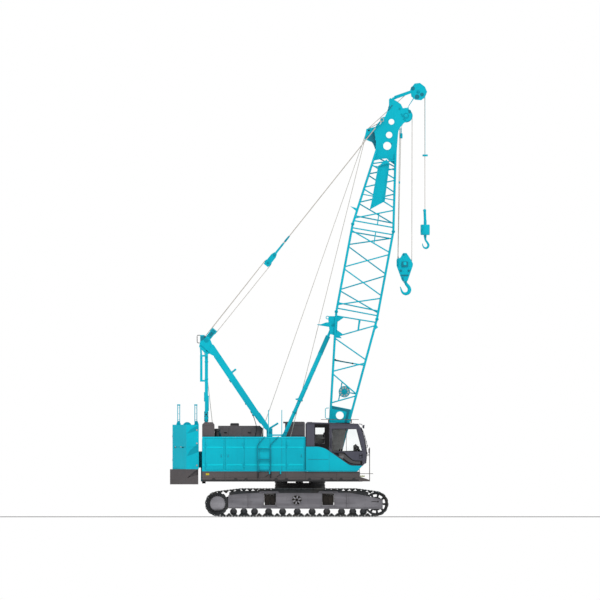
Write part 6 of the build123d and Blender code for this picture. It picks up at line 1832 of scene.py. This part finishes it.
def make_spreaders():
    """Pins and bands on both spreaders, and the pendants' sockets."""
    # Pins and sockets in darker cyan: painted shade.
    lower = Piece("lower_spreader_pins", painted_shade_cyan, "spreader")
    band = Piece("lower_spreader_bands", seam_and_shade_cyan, "spreader")
    upper = Piece("upper_spreader_pins", painted_shade_cyan, "stays")
    sockets = Piece("pendant_sockets", painted_shade_cyan, "stays", slot="bare_steel")
    for along in (0.35, 0.15):
        lower.pin_head(stay_point(along, 0, 0.3), 1, 0.042, 0.02)
    outline = ((0.19, -0.055), (0.19, 0.055), (0.42, 0.055), (0.42, -0.055))
    band.slab([stay_point(*corner) for corner in outline], 0.296, 0.305)
    for along, radius in ((3.321, 0.045), (3.657, 0.045), (4.065, 0.032)):
        upper.pin_head(stay_point(along, 0, 0.25), 1, radius, 0.016)
    low, high = stay_point(4.215, 0, 0.238), stay_point(9.374, 0, 0.43)
    socket = [(0.018, 0.0), (0.034, 0.02), (0.03, 0.2), (0.02, 0.26), (0.017, 0.26)]
    sockets.turned(socket, low, high - low, 16)
    sockets.turned(socket, high, low - high, 16)
    mirror_all(lower, band, upper, sockets)


def make_backstops():
    """Bands of painted shade and rings and lugs on the sleeves, and a buffer ring in painted shade on each
    rod.
    """
    sleeve = Piece("backstop_sleeve_shades", painted_shade_cyan, "backstop_sleeve_pair")
    paint = Piece("backstop_rings", cyan, "backstop_sleeve_pair")
    rod = Piece("backstop_buffers", painted_shade_cyan, "backstop_rod_pair")
    pins = Piece("backstop_pins", painted_shade_cyan)
    origin = beside(backstop_foot, backstop_y)
    band = [(0.07, 3.05), (0.079, 3.05), (0.079, 3.66), (0.07, 3.66)]
    sleeve.turned(band, origin, backstop_way, 32, closed=True)
    for along in (1.75, 2.4, 3.0):
        ring = [(0.074, along), (0.083, along + 0.006), (0.083, along + 0.05), (0.074, along + 0.056)]
        paint.turned(ring, origin, backstop_way, 32, closed=True)
    lug = origin + backstop_way * 1.3 + backstop_rise * 0.07
    paint.beam(lug, lug + backstop_rise * 0.075, 0.03, 0.05, 0.006, backstop_way)
    buffer = [(0.06, 0.84), (0.074, 0.845), (0.074, 0.885), (0.06, 0.89)]
    rod.turned(buffer, origin, backstop_way, 28, closed=True)
    pins.pin_head(beside(backstop_foot, 0.555), 1, 0.05, 0.016)
    mirror_all(sleeve, paint, rod, pins)


def smooth_run(stations, parts=5):
    """Points on a smooth curve through the stations."""
    run = []
    for index in range(len(stations) - 1):
        near = [Vector(stations[max(0, min(len(stations) - 1, index + step))]) for step in (-1, 0, 1, 2)]
        before, start, end, after = near
        for part in range(parts):
            share = part / parts
            curve = (end - before) * share + (before * 2 - start * 5 + end * 4 - after) * share ** 2
            curve += (start * 3 - before - end * 3 + after) * share ** 3
            run.append(start + curve * 0.5)
    return run + [Vector(stations[-1])]


def forged_hook(shape, stations, flat):
    """A forged hook: x, z and half width at stations, flatter across the machine."""
    run = smooth_run(stations)
    rings = []
    for index, (x, z, half) in enumerate(run):
        before = run[max(0, index - 1)]
        after = run[min(len(run) - 1, index + 1)]
        across = Vector((after.x - before.x, 0, after.y - before.y)).normalized().cross(Y)
        middle = Vector((x, 0, z))
        rings.append([middle + (across * math.cos(t) + Y * math.sin(t) * flat) * half for t in around(16)])
    shape.rings(rings)


def make_hooks():
    """The forged hooks with the collars on their shanks."""
    main_run = [(3.54, 7.93, 0.044), (3.548, 7.87, 0.05), (3.568, 7.815, 0.052), (3.618, 7.755, 0.056)]
    main_run += [(3.666, 7.684, 0.06), (3.678, 7.604, 0.062), (3.64, 7.522, 0.06), (3.549, 7.481, 0.052)]
    main_run += [(3.463, 7.512, 0.04), (3.412, 7.587, 0.03), (3.388, 7.662, 0.021), (3.364, 7.72, 0.011)]
    aux_run = [(4.205, 9.455, 0.042), (4.207, 9.4, 0.046), (4.209, 9.334, 0.036), (4.228, 9.274, 0.034)]
    aux_run += [(4.278, 9.205, 0.036), (4.314, 9.13, 0.038), (4.3, 9.061, 0.038), (4.235, 9.016, 0.034)]
    aux_run += [(4.16, 9.044, 0.026), (4.123, 9.113, 0.018), (4.115, 9.173, 0.011)]
    hook = Piece("main_hook_forged", cyan, "main_swivel")
    forged_hook(hook, main_run, 0.62)
    hook.turned([(0.03, 0), (0.047, 0), (0.047, 0.035), (0.03, 0.035)], (3.52, 0, 7.862), Z, 28)
    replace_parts(hook.made(), "main_hook")
    hook = Piece("aux_hook_forged", cyan, "aux_swivel")
    forged_hook(hook, aux_run, 0.66)
    hook.turned([(0.03, 0), (0.05, 0.003), (0.05, 0.04), (0.03, 0.043)], (4.205, 0, 9.41), Z, 28)
    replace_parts(hook.made(), "aux_hook")


def make_block_and_ball(face=0.14):
    """The plates, pins and covers of the hook block, its becket, and the ball's bands and socket; the
    block's hub plate lighter as painted light, its band, neck and left edge darker as painted shade.
    """
    deep = Piece("block_covers_and_shades", seam_and_shade_cyan, "main_block")
    bright = Piece("block_hub_plates_painted_light", painted_light_cyan, "main_block")
    shade = Piece("block_painted_shades", painted_shade_cyan, "main_block")
    deep.box((3.42, 3.63), (0.158, 0.177), (8.391, 8.566), 0.006)
    # A lighter hub plate: painted light.
    bright.box((3.478, 3.575), (0.17, 0.184), (8.448, 8.545), 0.006)
    # Darker band, neck and left edge strip: painted shade.
    deep.slab([(3.385, 8.125), (3.645, 8.125), (3.63, 8.075), (3.4, 8.075)], face - 0.002, face + 0.007)
    deep.slab([(3.425, 8.037), (3.47, 8.037), (3.49, 7.915), (3.455, 7.915)], face - 0.002, face + 0.006)
    shade.slab([(3.252, 8.66), (3.31, 8.66), (3.318, 8.4), (3.262, 8.4)], face - 0.002, face + 0.005)
    for x in (3.39, 3.656):
        deep.pin_head((x, 0.15, 8.262), 1, 0.036, 0.014)
    deep.pin_head((3.488, face, 8.798), 1, 0.026, 0.012)
    bright.bolts([(x, face, z) for x in (3.34, 3.69) for z in (8.55, 8.43)], Y)
    mirror_all(deep, bright, shade)
    becket = Piece("main_becket", bare_steel, "main_block")
    becket.box((3.272, 3.318), (-0.112, -0.088), (8.6, 8.74), 0.008)
    becket.tube([(3.295, -0.128, 8.63), (3.295, -0.07, 8.63)], 0.014, 12)
    ball = Piece("ball_bands", cyan, "aux_weight")
    ball.turned([(0.14, 0), (0.157, 0.02), (0.157, 0.28), (0.14, 0.3)], (4.205, 0, 9.483), Z, 40)
    socket = Piece("ball_socket_pins", cyan, "aux_weight")
    cone = [(0.03, 0), (0.052, 0.01), (0.055, 0.04), (0.04, 0.07), (0.02, 0.08)]
    socket.turned(cone, (4.19, 0, 10.25), (-0.05, 0, 1))
    for z, x in ((9.93, 4.203), (10.16, 4.195)):
        socket.tube([(x, -0.06, z), (x, 0.06, z)], 0.022, 14)


make_gantry()
make_winches()
make_boom_foot()
make_boom()
make_boom_head()
make_sign_plate()
make_spreaders()
make_backstops()
make_hooks()
make_block_and_ball()

for part in list(pieces):
    part.made()
